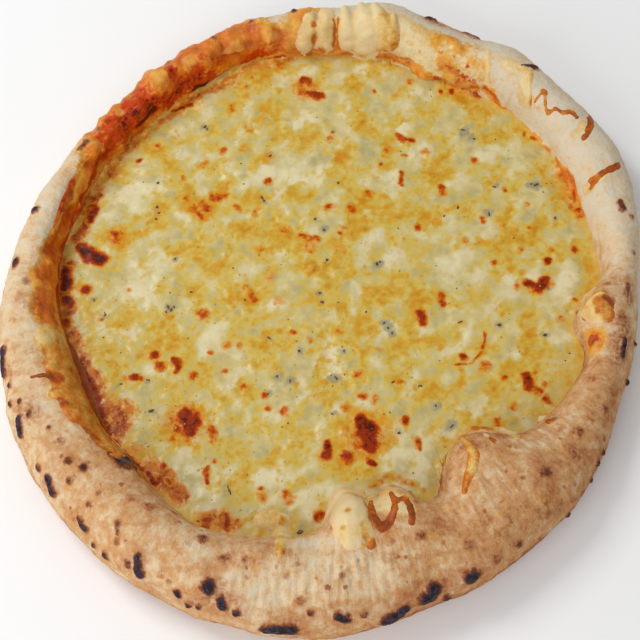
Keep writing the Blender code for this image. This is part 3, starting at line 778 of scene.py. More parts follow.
# Browned blisters: 1 is nearly black, 0.75 red-brown, 0.5 orange
TOAST_MARKS = (
    (1.0, (184, 414, 14), (190, 420, 24), (190, 430, 18)), (0.6, (186, 424, 42)),
    (1.0, (361, 421, 16), (367, 432, 28), (372, 444, 18)), (0.6, (366, 434, 48)),
    (0.9, (328, 445, 10), (326, 456, 13)), (0.9, (346, 458, 15)),
    (0.85, (367, 461, 9), (375, 464, 8)), (0.85, (405, 420, 11)),
    (0.6, (416, 438, 8), (418, 447, 8)), (0.65, (363, 396, 9)), (0.65, (374, 399, 10)),
    (0.55, (401, 383, 8)), (0.5, (346, 408, 12)), (0.9, (421, 314, 13), (424, 322, 9)),
    (0.75, (440, 296, 13), (443, 304, 9)), (0.95, (527, 282, 9), (537, 289, 14), (546, 279, 10)),
    (0.6, (517, 285, 10)), (0.6, (551, 283, 9)), (0.9, (547, 261, 10)),
    (0.9, (526, 376, 11), (530, 385, 14)), (0.75, (538, 391, 10)),
    (0.75, (545, 397, 9), (550, 403, 8)), (0.85, (504, 377, 7)), (0.65, (543, 384, 8)),
    (0.7, (484, 334, 3), (484, 345, 3), (478, 356, 3), (470, 363, 4), (456, 364, 4)),
    (0.8, (463, 357, 9)), (0.95, (302, 80, 9), (309, 82, 10)),
    (0.95, (309, 93, 8), (319, 96, 12)), (0.55, (306, 88, 30)),
    (0.75, (396, 135, 6), (404, 140, 9)), (0.85, (411, 140, 8)),
    (0.75, (401, 173, 6), (401, 184, 6)), (0.7, (440, 187, 7), (443, 194, 9)),
    (0.65, (369, 194, 10)), (0.65, (344, 226, 8)), (0.6, (351, 208, 14)), (0.75, (419, 227, 10)),
    (0.6, (483, 220, 8)), (0.6, (502, 225, 7)), (0.65, (529, 228, 6)), (0.6, (527, 204, 7)),
    (0.75, (575, 249, 10)), (0.65, (202, 314, 14)), (0.6, (246, 286, 8), (254, 300, 10)),
    (0.8, (155, 355, 12)), (0.8, (160, 366, 11)), (0.8, (175, 361, 9)),
    (0.9, (132, 377, 11), (142, 379, 7)), (0.65, (194, 376, 10)), (0.5, (226, 346, 10)),
    (0.6, (244, 387, 10)), (0.65, (265, 395, 9)), (0.6, (267, 408, 8)), (0.65, (284, 411, 11)),
    (0.65, (212, 428, 8), (213, 440, 7)), (0.6, (212, 462, 8)), (0.6, (288, 496, 14)),
    (0.8, (139, 160, 7)), (0.85, (158, 146, 7)), (0.6, (223, 151, 11)), (0.6, (183, 179, 8)),
    (0.6, (185, 199, 9)), (0.7, (215, 198, 13), (225, 195, 9)), (0.6, (202, 210, 26)),
    (0.65, (237, 208, 9)), (0.6, (254, 213, 8)), (0.7, (268, 181, 9)), (0.65, (293, 332, 8)),
    (0.6, (357, 374, 12)), (0.9, (93, 208, 12), (90, 222, 10)), (0.9, (117, 236, 10)),
    (0.6, (117, 236, 22)), (1.1, (82, 248, 14), (90, 256, 18), (101, 260, 14)),
    (1.1, (66, 270, 12), (67, 286, 14)), (1.1, (68, 302, 15)), (0.75, (86, 290, 14)),
    (0.85, (67, 322, 13)), (0.6, (340, 232, 7)),
    (0.42, (370, 486, 6), (380, 479, 8), (392, 476, 8), (404, 479, 8), (412, 486, 6)),
    (0.5, (280, 66, 18)), (0.6, (247, 86, 9)), (0.55, (252, 77, 9)),
    (0.8, (189, 105, 8), (174, 111, 7)), (0.6, (397, 63, 8)), (0.55, (410, 81, 11)),
    (0.6, (374, 91, 7)), (0.9, (452, 91, 8)), (0.75, (442, 92, 7)), (0.6, (332, 132, 6)),
    (0.55, (388, 149, 9)), (0.55, (425, 152, 11)), (0.5, (405, 155, 7)), (0.7, (524, 133, 7)),
    (0.7, (534, 138, 7)), (0.65, (561, 164, 8)), (0.75, (577, 210, 9)), (0.8, (319, 515, 12)),
    (0.75, (205, 470, 8), (206, 482, 6)), (0.8, (163, 466, 10)), (0.75, (168, 481, 9)),
    (0.65, (496, 421, 7), (499, 428, 6)), (0.6, (535, 372, 6)), (0.6, (485, 367, 14)),
    (0.55, (513, 407, 10)), (0.7, (262, 488, 6)), (0.7, (231, 419, 6)),
    (0.8, (180, 362, 8), (176, 372, 6)), (0.6, (330, 206, 12)), (0.6, (312, 250, 8)),
    (0.65, (300, 236, 8), (318, 240, 7)), (0.55, (285, 230, 12)), (0.5, (262, 250, 12)),
    (0.6, (210, 352, 7)), (0.6, (225, 372, 8)), (0.5, (340, 330, 9)), (0.55, (380, 350, 8)),
    (0.55, (465, 240, 9)), (0.55, (520, 250, 8)), (0.6, (493, 262, 8)), (0.55, (560, 320, 8)),
    (0.5, (575, 300, 8)), (0.6, (380, 165, 7)), (0.55, (475, 160, 9)), (0.55, (505, 190, 7)),
    (0.55, (550, 250, 7)), (0.55, (250, 130, 9)), (0.6, (232, 108, 8)), (0.5, (205, 165, 9)),
    (0.6, (128, 290, 6)), (0.55, (100, 320, 7)), (0.5, (240, 345, 8)), (0.5, (310, 340, 8)),
)

# Sauce that shows through or beside the cheese. The strongest stroke runs in the crevice
# behind the front left crest, where its darkest red is also painted shade
SAUCE_AND_SHADE_MARKS = (
    (0.75, (66, 326, 16), (74, 345, 18), (84, 365, 16)), (0.7, (92, 372, 12), (100, 392, 18)),
    (0.75, (108, 408, 24), (118, 424, 30), (128, 412, 22)), (0.8, (126, 378, 8), (140, 376, 6)),
    (1.35, (80, 362, 6), (89, 384, 10), (97, 400, 12), (102, 420, 10), (108, 438, 8),
     (124, 452, 6), (142, 470, 6), (158, 484, 5)),
    (0.6, (118, 446, 20), (140, 462, 22), (165, 480, 22), (182, 500, 16)),
    (0.7, (158, 470, 10), (170, 486, 12)), (0.7, (206, 524, 18), (222, 520, 20), (234, 526, 14)),
    (1.0, (226, 516, 8), (229, 530, 8)), (0.9, (206, 528, 8)),
    (0.8, (98, 196, 9), (88, 218, 10), (78, 240, 12)),
    (0.8, (68, 262, 14), (66, 286, 16), (68, 310, 16)),
    (0.8, (148, 116, 8), (124, 136, 9), (106, 159, 11)),
    (0.6, (196, 98, 8), (206, 92, 8), (176, 110, 8)), (0.5, (232, 80, 8), (256, 64, 8)),
    (0.4, (290, 60, 9), (250, 70, 9), (212, 90, 12), (190, 100, 12), (152, 128, 12),
     (122, 156, 12)),
    (0.5, (122, 156, 12), (98, 188, 14), (80, 216, 16)), (0.55, (330, 140, 9)),
    (0.6, (562, 176, 12), (578, 215, 12)), (0.6, (566, 196, 14)), (0.4, (340, 250, 12)),
    (0.5, (270, 158, 12)), (0.6, (262, 498, 9)), (0.7, (498, 421, 9)),
    (0.55, (480, 92, 12), (455, 90, 12)), (0.4, (310, 244, 16)), (0.35, (270, 275, 16)),
    (0.3, (280, 300, 14)),
)

# Oil from the sauce in the edge under the back left wall, painted brighter than its own colour
# to make up for the wall's shadow there: part stain, part painted light
OIL_AND_LIGHT_MARKS = (
    (0.9, (292, 56, 9), (256, 66, 9), (230, 78, 11), (205, 92, 12), (180, 106, 12),
     (158, 118, 11), (132, 138, 10), (110, 162, 10), (90, 190, 10), (76, 216, 9), (62, 242, 9)),
    (0.55, (200, 100, 16), (180, 110, 14)), (0.35, (534, 138, 12)),
    (0.3, (560, 168, 12), (578, 206, 12)),
)

# Deep yellow to orange butterfat
FAT_MARKS = (
    (0.9, (176, 340, 20), (190, 370, 44), (176, 396, 40)),
    (0.8, (240, 230, 40), (280, 245, 44), (300, 262, 30)), (0.8, (225, 200, 40), (250, 205, 30)),
    (0.8, (346, 206, 22), (370, 200, 24), (400, 210, 26)), (0.7, (360, 228, 26), (340, 240, 20)),
    (0.7, (200, 222, 30), (220, 232, 26)), (0.7, (355, 135, 30), (340, 160, 24)),
    (0.7, (440, 180, 26), (430, 210, 22)), (0.7, (590, 270, 12), (596, 290, 14)),
    (0.7, (340, 310, 16), (358, 330, 12)), (0.4, (300, 330, 22), (310, 350, 20)),
    (0.4, (480, 330, 22), (500, 350, 20), (510, 370, 18)), (0.7, (410, 300, 24), (430, 300, 20)),
    (0.3, (330, 420, 26)), (0.7, (285, 440, 30), (295, 460, 24)),
    (0.7, (350, 450, 40), (330, 460, 24)), (0.6, (420, 380, 20), (440, 395, 16)),
    (0.7, (500, 390, 30), (540, 410, 20)), (0.6, (265, 290, 20), (250, 305, 16)),
    (0.6, (150, 145, 26), (165, 160, 22)), (0.6, (120, 170, 24)), (0.6, (190, 180, 16)),
    (0.6, (104, 235, 22), (120, 245, 22)), (0.6, (240, 80, 16), (290, 64, 16), (330, 62, 14)),
    (0.6, (430, 345, 18)), (0.6, (96, 340, 24), (110, 360, 20)), (0.3, (520, 270, 30)),
    (0.6, (344, 62, 14), (380, 63, 14), (404, 70, 12)), (0.6, (165, 250, 22), (175, 265, 16)),
    (0.6, (230, 440, 16), (230, 460, 14)), (0.6, (470, 100, 30), (500, 110, 22)),
    (0.6, (575, 240, 16)),
)

# Crumbled blue cheese: grey-green clouds
BLUE_MARKS = (
    (0.8, (155, 205, 18), (157, 222, 16)), (0.7, (470, 125, 22), (492, 127, 18)),
    (0.7, (450, 115, 26), (480, 138, 26)), (0.7, (378, 265, 16)),
    (0.7, (285, 375, 18), (275, 390, 14)), (0.7, (470, 395, 14)), (0.7, (440, 370, 16)),
    (0.7, (336, 378, 12)), (0.6, (170, 309, 12)), (0.6, (384, 323, 12), (392, 333, 12)),
    (0.7, (320, 296, 12)), (0.6, (490, 205, 24), (480, 190, 20)),
    (0.6, (560, 195, 22), (540, 188, 16)), (0.6, (205, 127, 18)), (0.6, (270, 155, 22)),
    (0.6, (180, 150, 20)), (0.6, (265, 340, 20)), (0.6, (250, 480, 20)), (0.6, (205, 430, 12)),
    (0.6, (560, 230, 20)), (0.6, (440, 420, 30), (460, 405, 24)), (0.6, (500, 180, 20)),
    (0.6, (390, 250, 24)), (0.6, (240, 95, 20)), (0.6, (230, 330, 14)), (0.6, (550, 370, 18)),
    (0.5, (360, 290, 30)), (0.6, (300, 360, 22)), (0.6, (530, 330, 20)), (0.6, (420, 260, 20)),
    (0.6, (250, 510, 20)), (0.6, (200, 500, 20)),
)

# Larger grains of its mould: pixels across and down, length and width in pixels, and turn in
# degrees. The cheese round each is stained.
MOULD_GRAINS = (
    (205, 127, 4, 3, 30), (207, 129, 3, 2, 80), (262, 198, 6, 3, -60), (264, 201, 3, 3, 0),
    (270, 156, 4, 2, 40), (158, 183, 3, 3, 0), (157, 207, 3, 3, 10), (159, 213, 3, 2, 60),
    (156, 219, 3, 2, 20), (175, 259, 3, 2, 0), (191, 292, 3, 2, 50), (168, 307, 4, 3, 0),
    (171, 310, 4, 3, 60), (174, 307, 3, 2, 20), (166, 312, 3, 2, 0), (269, 338, 5, 2, 40),
    (277, 376, 3, 2, 20), (290, 381, 4, 2, -20), (336, 378, 6, 2, 10), (332, 414, 3, 2, 0),
    (319, 293, 3, 2, -50), (322, 302, 4, 3, 50), (366, 312, 3, 2, 0), (377, 264, 4, 3, 0),
    (380, 262, 3, 2, 40), (384, 323, 3, 2, -50), (388, 328, 3, 2, -50), (392, 333, 3, 2, -40),
    (299, 351, 3, 3, 0), (393, 382, 4, 2, 30), (399, 433, 3, 3, 0), (419, 386, 3, 2, 70),
    (444, 216, 3, 2, 0), (458, 207, 3, 2, 40), (489, 214, 6, 2, -55), (494, 187, 4, 2, -30),
    (536, 185, 6, 3, -10), (531, 184, 3, 2, 0), (555, 218, 3, 3, 0), (151, 411, 6, 3, 60),
    (229, 490, 10, 2, 60), (198, 521, 3, 2, 0), (300, 532, 6, 4, 10), (463, 130, 5, 2, -30),
    (474, 139, 3, 2, 0), (315, 219, 3, 3, 0), (324, 230, 3, 3, 0), (327, 260, 3, 3, 0),
    (338, 183, 3, 3, 0), (320, 293, 3, 2, 60), (458, 208, 3, 2, 0), (148, 380, 4, 2, 80),
    (121, 384, 3, 2, 0), (105, 315, 4, 2, 20), (94, 300, 3, 2, 0), (245, 300, 3, 2, 0),
    (268, 394, 3, 2, 20), (460, 322, 5, 2, 20), (499, 325, 4, 3, 30), (545, 335, 4, 3, 60),
    (548, 288, 3, 2, 0), (436, 406, 3, 2, 0), (452, 426, 5, 2, -50), (421, 386, 3, 2, 0),
    (344, 351, 3, 2, 30),
)
STAIN_ROUND_GRAIN = 7

# Clean pale curds
CURD_MARKS = (
    (0.6, (320, 395, 44)), (0.9, (150, 270, 44), (140, 290, 40)),
    (0.9, (130, 195, 34), (160, 190, 30)), (0.8, (330, 350, 24)),
    (0.8, (245, 180, 24), (310, 170, 40)), (0.9, (115, 215, 18)),
    (0.8, (75, 222, 10), (70, 238, 9)), (0.8, (215, 330, 24), (205, 345, 18)),
    (0.8, (340, 370, 24)), (0.8, (180, 470, 40), (210, 490, 30)), (0.8, (290, 255, 30)),
    (0.9, (395, 190, 20), (392, 172, 12)), (0.8, (400, 470, 40), (430, 450, 24)),
    (0.8, (270, 480, 30), (300, 500, 26)), (0.8, (570, 270, 22), (560, 300, 24)),
    (0.8, (460, 330, 24)), (0.8, (450, 260, 30)), (0.7, (480, 150, 24), (510, 160, 24)),
    (0.7, (385, 110, 30)), (0.7, (300, 120, 24)), (0.8, (330, 490, 20)), (0.7, (560, 340, 20)),
    (0.8, (122, 412, 14)), (0.8, (110, 250, 16)),
)

cells = np.linspace(-1, 1, CHEESE_CELLS + 1)
side, ahead = np.meshgrid(cells, cells, indexing="ij")
# A square grid bent into a disc without crowding its middle
steep = np.abs(ahead) > np.abs(side)
reach = np.where(steep, ahead, side)
other = np.where(steep, side, ahead)
turn = math.pi / 4 * np.divide(other, reach, out=np.zeros_like(other), where=reach != 0)
turn = np.where(steep, math.pi / 2 - turn, turn)
disc_x, disc_y = reach * np.cos(turn), reach * np.sin(turn)
bearing, share = np.arctan2(disc_y, disc_x), np.hypot(disc_x, disc_y)

edge = np.empty(SPOKES + 1)
for spoke in range(SPOKES + 1):
    angle = 2 * math.pi * spoke / SPOKES
    out = Vector((math.cos(angle), math.sin(angle), 0))
    edge[spoke] = crust_tree.ray_cast(Vector((0, 0, CHEESE_RIM_LEVEL)), out)[0].xy.length
radius = np.interp(np.mod(bearing, 2 * math.pi), np.linspace(0, 2 * math.pi, SPOKES + 1), edge)
spread = share * (radius + CHEESE_OVERLAP)
grid_x, grid_y = spread * np.cos(bearing), spread * np.sin(bearing)
cheese_solid = tree_of(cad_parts["melted_cheese"])
level = np.empty_like(grid_x)
for i in range(CHEESE_CELLS + 1):
    for j in range(CHEESE_CELLS + 1):
        inner = min(1.0, (radius[i, j] - INSIDE_EDGE) / max(spread[i, j], 1e-6))
        start = Vector((grid_x[i, j] * inner, grid_y[i, j] * inner, HIGH))
        hit = cheese_solid.ray_cast(start, Vector((0, 0, -1)))[0]
        level[i, j] = hit.z if hit else CHEESE_RIM_LEVEL
for axis in (0, 1):
    level = smoothed(level[..., None], LEVEL_SMOOTHING, axis, False)[..., 0]
to_wall = radius - spread
level += CLING_HEIGHT * np.exp(-np.clip(to_wall, 0, None) / CLING_WIDTH)

count = CHEESE_CELLS + 1
top_points = np.column_stack((grid_x.ravel(), grid_y.ravel(), level.ravel()))
index = np.arange(count * count).reshape(count, count)
border = np.concatenate((index[0, :-1], index[:-1, -1], index[-1, :0:-1], index[:0:-1, 0]))
skirt = top_points[border] * (1, 1, 0) + (0, 0, CHEESE_UNDER)
all_points = np.vstack((top_points, skirt, (0, 0, CHEESE_UNDER)))
faces = np.stack((index[:-1, :-1], index[1:, :-1], index[1:, 1:], index[:-1, 1:]), -1)
faces = faces.reshape(-1, 4)
low = len(top_points) + np.arange(len(border))
sides = np.stack((border, np.roll(border, -1), np.roll(low, -1), low), -1)
fan = [(int(a), int(b), len(all_points) - 1) for a, b in zip(np.roll(low, -1), low)]
cheese_mesh = bpy.data.meshes.new("cheese_pool")
cheese_mesh.from_pydata(all_points.tolist(), [], faces.tolist() + sides.tolist() + fan)
face_outwards(cheese_mesh)
points = coordinates(cheese_mesh)
pool_tree = BVHTree.FromPolygons([Vector(point) for point in points],
                                 [face.vertices for face in cheese_mesh.polygons])
mould_stains = [(1.0, (x, y, long + STAIN_ROUND_GRAIN)) for x, y, long, _, _ in MOULD_GRAINS]
for name, marks in (("toast", TOAST_MARKS), ("sauce", SAUCE_AND_SHADE_MARKS), ("fat", FAT_MARKS),
                    ("blue", BLUE_MARKS), ("curd", CURD_MARKS), ("mould", mould_stains),
                    ("oil", OIL_AND_LIGHT_MARKS)):
    remember(cheese_mesh, name, marked(points, marks, pool_tree, CHEESE_WOBBLE))
near_wall = np.clip(1 - to_wall.ravel() / WALL_BAND, 0, 1)
skirt_count = len(border) + 1
remember(cheese_mesh, "wall", np.concatenate((near_wall, np.ones(skirt_count))))
remember(cheese_mesh, "free", np.concatenate((np.ones(len(top_points)), np.zeros(skirt_count))))


def curds(place):
    """Pillows of curd, 1 in their middles and 0 in the furrows between them."""
    drawn = place.scaled(1, 1, 0).warped(8 * MM, 6 * MM)
    return drawn.cells(8.5 * MM, feature="DISTANCE_TO_EDGE").ramp(0.02, 0.42)


def cheese_relief():
    """Soft curds, fine grain and small bubbles, with the browned blisters raised."""
    sizes, close = shape_tree("cheese relief", (
        "Curd Height", "Grain Size", "Grain Height", "Bubble Size", "Bubble Height",
        "Blister Height"))
    start = sizes["Geometry"]
    place = start.add("GeometryNodeInputPosition")
    grain, bubble = place.grain(sizes["Grain Size"]), place.cells(sizes["Bubble Size"])
    where = place.grain(18 * MM)
    relief = (curds(place).swing(where.ramp(0.35, 0.6, 0.3, 1.0)) * sizes["Curd Height"]
              + grain.swing(2) * sizes["Grain Height"]
              + bubble.ramp(0.4, 0.05) * where.ramp(0.5, 0.62) * sizes["Bubble Height"]
              + place.keep("toast").ramp(0.3, 0.8) * sizes["Blister Height"]) * place.keep("free")
    push = place.add("ShaderNodeCombineXYZ", (), {"Z": relief})
    return close(start.add("GeometryNodeSetPosition", (), {"Geometry": start, "Offset": push}))


# From green through cream to rose
CURD_TINTS = ((0.32, shade(186, 172, 116)), (0.42, shade(200, 183, 122)),
              (0.52, shade(208, 191, 130)), (0.62, shade(217, 202, 152)),
              (0.72, shade(214, 186, 150)))
CURD_PALE = shade(226, 214, 172)
FAT_YELLOW, FAT_GOLD = shade(210, 178, 70), shade(206, 156, 38)
FAT_DROP, FAT_DEEP, FAT_EMBER = shade(208, 142, 18), shade(198, 130, 14), shade(198, 112, 14)
OIL_PAINTED_LIGHT, OIL_PALE_PAINTED_LIGHT, WALL_GOLD_AND_LIGHT = shade(255, 158, 46), shade(255, 208, 104), shade(216, 166, 60)
BLUE_GREEN, BLUE_GREY, BLUE_SPECK = shade(176, 162, 114), shade(142, 136, 112), shade(96, 80, 66)
UNDER_THIN, BARE_RED, BARE_ORANGE = shade(220, 148, 52), shade(146, 46, 0), shade(208, 122, 44)
BARE_DEEP, BARE_DARK_AND_SHADE = shade(140, 38, 0), shade(104, 22, 0)
TOAST_GOLD, TOAST_ORANGE = shade(212, 142, 14), shade(196, 88, 0)
TOAST_BROWN, TOAST_BLACK = shade(148, 46, 0), shade(84, 22, 2)


def cheese_finish():
    """Pale curds in yellow fat, greened by blue cheese and browned at the blisters, with painted
    light at the edge under the wall and painted shade in the crevice at the front left.
    """
    material, shader, place = finish("melted_cheese", roughness=0.4, subsurface_weight=0.1,
                                     subsurface_scale=1.5 * MM, specular_ior_level=0.12,
                                     coat_roughness=0.15)
    shader.inputs["Subsurface Radius"].default_value = (1.0, 0.7, 0.35)
    toast, sauce, fat = place.recall("toast"), place.recall("sauce"), place.recall("fat")
    blue, curd, mould = place.recall("blue"), place.recall("curd"), place.recall("mould")
    drawn = place.warped(11 * MM, 6 * MM)
    streaked = drawn.turned(math.radians(-45), 1.5)
    clouds, lumps = drawn.grain(16 * MM, 1.5, 0.5), streaked.grain(7 * MM, 2, 0.5)
    flecks, fine = place.warped(5 * MM, 2.5 * MM).grain(2.8 * MM, 2, 0.5), place.grain(0.9 * MM, 2)
    # curds: pale lumps tinted green, cream or rose
    tint = place.warped(8 * MM, 4 * MM).grain(11 * MM, 2, 0.5) + flecks.swing(0.25)
    colour = tint.add("ShaderNodeValToRGB", {"stops": CURD_TINTS}, {"Fac": tint})
    blobs = place.warped(9 * MM, 5 * MM).spots(13 * MM, 0.7, 0.7, 0.4)
    pale = curd * 0.7 + blobs * 0.6 + lumps.swing(1.6) + tint.swing(1.4) - 0.05
    colour = (pale.ramp(0.05, 0.9) * 0.85).mix(colour, CURD_PALE)
    # butterfat
    yellow = fat * 0.45 + clouds.swing(2.2) - lumps.swing(2.8) + flecks.swing(1.7)
    yellow = yellow - curd * 0.5 - blobs * 0.4 + 0.1
    colour = (yellow.ramp(-0.25, 0.3) * 0.85).mix(colour, FAT_YELLOW)
    colour = (yellow.ramp(0.25, 0.75) * 0.85).mix(colour, FAT_GOLD)
    drops = place.warped(4 * MM, 3 * MM).spots(9 * MM, 0.65, 0.6, 0.3)
    drops = drops.top(place.warped(3 * MM, 2 * MM).spots(4.5 * MM, 0.6, 0.55, 0.25) * 0.8)
    drops = drops * (yellow + clouds * 0.5).ramp(0.1, 0.7)
    colour = (drops * 0.85).mix(colour, FAT_DROP)
    colour = (yellow.ramp(0.7, 1.3) * 0.8).mix(colour, FAT_DEEP)
    # Oil at the edge under the back left wall, its colours pushed bright as painted light against
    # the wall's shadow
    oil = place.recall("oil")
    uneven = clouds.swing(1.5) + lumps.swing(2.4) + flecks.swing(1.6)
    oil = oil + uneven * oil.ramp(0, 0.2)
    oil_and_light_colour = flecks.ramp(0.4, 0.6).mix(OIL_PAINTED_LIGHT, OIL_PALE_PAINTED_LIGHT)
    colour = (oil.ramp(0.2, 0.85) * 0.95).mix(colour, oil_and_light_colour)
    # Gold near the rim's wall: partly warm fat, partly painted to lift the grey shade the wall
    # casts on the cheese
    near_wall_gold_and_light = place.recall("wall") + lumps.swing(2.2) + flecks.swing(1.2) - oil.ramp(0.2, 0.6)
    colour = (near_wall_gold_and_light.ramp(0.45, 1.2) * 0.6).mix(colour, WALL_GOLD_AND_LIGHT)
    ember = place.warped(3 * MM, 2.5 * MM).spots(7.5 * MM, 0.4, 0.4, 0.25)
    ember = ember * (yellow + flecks.swing(2)).ramp(0.0, 0.8)
    colour = (ember * 0.8).mix(colour, FAT_EMBER)
    # blue cheese
    veins = streaked.grain(7 * MM, 3, 0.6)
    green = blue * 0.6 + veins.swing(2.2) + flecks.swing(0.8) - yellow.ramp(0.2, 0.8) * 0.4
    green = green + mould * (flecks + 0.4) * 0.9
    colour = (green.ramp(0.25, 0.9) * 0.36).mix(colour, BLUE_GREEN)
    colour = (green.ramp(0.6, 1.2) * 0.65).mix(colour, BLUE_GREY)
    speck = place.warped(2 * MM, 2 * MM).spots(2.2 * MM, 0.5, 0.45, 0.4) * green.ramp(0.4, 0.9)
    colour = (speck * 0.6).mix(colour, BLUE_SPECK)
    # sauce that shines through thin cheese, or lies bare
    ragged = place.warped(3 * MM, 3 * MM).grain(3.5 * MM, 3, 0.6)
    red = sauce + (lumps.swing(1.7) + ragged.swing(2.0)) * sauce.ramp(0, 0.25)
    bare = (ragged + flecks.swing(0.8)).ramp(0.35, 0.65).mix(BARE_RED, BARE_ORANGE)
    colour = (red.ramp(0.05, 0.45) * 0.85).mix(colour, UNDER_THIN)
    colour = red.ramp(0.4, 0.8).mix(colour, bare)
    # The deepest reds lie mostly in the crevice behind the front left crest: sauce, darkened as
    # painted shade
    colour = (red.ramp(0.9, 1.3) * 0.85).mix(colour, BARE_DEEP)
    colour = red.ramp(1.3, 1.7).mix(colour, BARE_DARK_AND_SHADE)
    # browning
    small = place.warped(2.5 * MM, 2 * MM).spots(8 * MM, 0.4, 0.32, 0.35) * clouds.ramp(0.4, 0.58)
    brown = toast.top(small * 0.65)
    uneven = ragged.swing(1.1) + flecks.swing(0.5) + fine.swing(0.2)
    brown = brown + uneven * brown.ramp(0, 0.4)
    colour = (brown.ramp(0.05, 0.45) * 0.8).mix(colour, TOAST_GOLD)
    colour = brown.ramp(0.38, 0.66).mix(colour, TOAST_ORANGE)
    colour = brown.ramp(0.62, 0.86).mix(colour, TOAST_BROWN)
    colour = brown.ramp(0.9, 1.15).mix(colour, TOAST_BLACK)
    relief = flecks * 0.4 + fine * 0.1 + lumps * 0.8
    feed(shader, base_color=colour, roughness=0.34 + flecks * 0.25,
         coat_weight=0.2 - brown.top(red).ramp(0.3, 0.6) * 0.16,
         normal=bumped(relief, 0.7 * MM, 0.6))
    return material


cheese = worked("cheese_pool", cheese_mesh, cheese_relief(), cheese_finish(), {
    "Curd Height": 0.45 * MM, "Grain Size": 5 * MM, "Grain Height": 0.45 * MM,
    "Bubble Size": 7 * MM, "Bubble Height": 0.4 * MM, "Blister Height": 0.3 * MM})
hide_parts("melted_cheese")
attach(cheese, "root")
cheese_tree = tree_of(cheese)

# ---------------------------------------------------------------- cheese on the rim
# Shreds and dollops that fell or ran on the rim and melted there. Each lies on the dough's
# skin, thick in the middle and thinning into it, toasted where it is thin.

# Steps, sizes of the unevenness and far distances in pixels, heights in thicknesses
MELT_STEP = 1.0
ROUGH_SIZE, RIPPLE_PIXELS = 6, 8
FAR_OUTSIDE = -9.0
LOWEST_MELT, HIGHEST_MELT = -0.6, 1.3
MELT_SHOULDER = 0.8
MERGING = 4.5
MELT_SINK = 0.5 * MM
MELT_SUNK = 0.1 * MM
MELT_SOFTENING = 3
LEAN_SOFTENING = 16
TOAST_WOBBLE = 0.6 * MM

# Each piece: the node it stands for, its thickness in mm, how uneven it is, how far it
# blends into the dough at its edge, and its strokes in pixels
RIM_CHEESE = {
    "cheese_flow_back": (2.0, 0.15, 0.6, (
        ((345, 8, 8), (346, 20, 17), (347, 32, 20), (348, 42, 18)),
        ((361, 4, 7), (364, 14, 20), (366, 30, 34), (366, 45, 30)),
        ((375, 6, 8), (381, 20, 20), (387, 32, 24), (388, 42, 20)),
        ((393, 17, 8), (393, 28, 13), (392, 38, 14)))),
    "cheese_lump_back": (1.1, 0.3, 1.0, (
        ((311, 18, 14), (308, 32, 20), (306, 44, 20)),
        ((326, 14, 15), (326, 30, 21), (325, 43, 20)))),
    "cheese_lump_right": (0.7, 0.1, 1.0, (
        ((590, 303, 20), (597, 303, 26), (605, 305, 20)),
        ((586, 312, 18), (596, 313, 22), (607, 315, 16)))),
    "cheese_strip_left": (1.2, 0.08, 0.6, (
        ((45, 334, 20), (52, 344, 30), (60, 358, 34), (71, 378, 30), (81, 398, 26), (90, 420, 22),
         (103, 440, 16), (118, 453, 12)),
        ((53, 394, 9), (61, 394, 12)),
        ((56, 368, 22), (66, 390, 24), (76, 412, 22)))),
    "cheese_drape_front": (0.8, 0.1, 1.0, (
        ((344, 506, 34), (345, 514, 38), (349, 526, 34), (352, 540, 22)),
        ((356, 506, 20), (361, 518, 24), (366, 534, 16), (371, 545, 10)))),
    "cheese_drip_front": (1.4, 0.2, 0.6, (
        ((263, 520, 18), (272, 521, 22), (281, 522, 18)),
        ((281, 524, 15), (282, 538, 15), (280, 553, 9)))),
    "cheese_loops_front": (0.4, 0.1, 0.6, (
        ((371, 500, 6), (371, 502, 6), (371, 507, 7), (374, 517, 8), (378, 524, 10),
         (383, 528, 11), (388, 524, 11), (392, 517, 10), (395, 508, 8), (394, 499, 7),
         (391, 494, 6)),
        ((394, 499, 6), (399, 500, 6), (404, 498, 6), (408, 495, 7)),
        ((405, 498, 5), (410, 506, 8), (412, 514, 8), (412, 522, 9)))),
    "cheese_strand_right": (1.1, 0.1, 0.5, (
        ((461, 438, 5), (468, 444, 7), (474, 455, 12), (472, 468, 11), (467, 480, 8),
         (464, 492, 5)),)),
    "cheese_lip_right": (0.45, 0.2, 0.8, (
        ((460, 434, 6), (474, 429, 7), (490, 430, 7), (502, 430, 7), (518, 437, 6)),
        ((484, 434, 4), (496, 442, 5)))),
}

# Thin shreds and drips baked on the dough, which are part of its solid
BAKED_SHREDS = {
    "browned_shreds": (0.4, 0.3, 0.6, (
        ((534, 103, 3), (543, 90, 4), (546, 93, 5)),
        ((545, 92, 5), (545, 104, 4), (548, 114, 4), (555, 108, 4), (563, 113, 5), (571, 111, 6),
         (577, 117, 6)),
        ((590, 116, 7), (591, 126, 9), (584, 138, 7)),
        ((617, 166, 9), (604, 172, 7), (590, 181, 6)),
        ((602, 174, 5), (590, 189, 4)),
        ((541, 418, 6), (548, 420, 7), (552, 423, 6)),
        ((31, 377, 4), (44, 375, 5), (58, 379, 6)))),
    "yellow_drips": (0.6, 0.1, 0.8, (
        ((488, 51, 6), (488, 66, 6), (487, 84, 5)),
        ((530, 70, 6), (529, 88, 6), (529, 106, 5)),
        ((508, 63, 8), (520, 66, 9), (530, 74, 8)))),
}

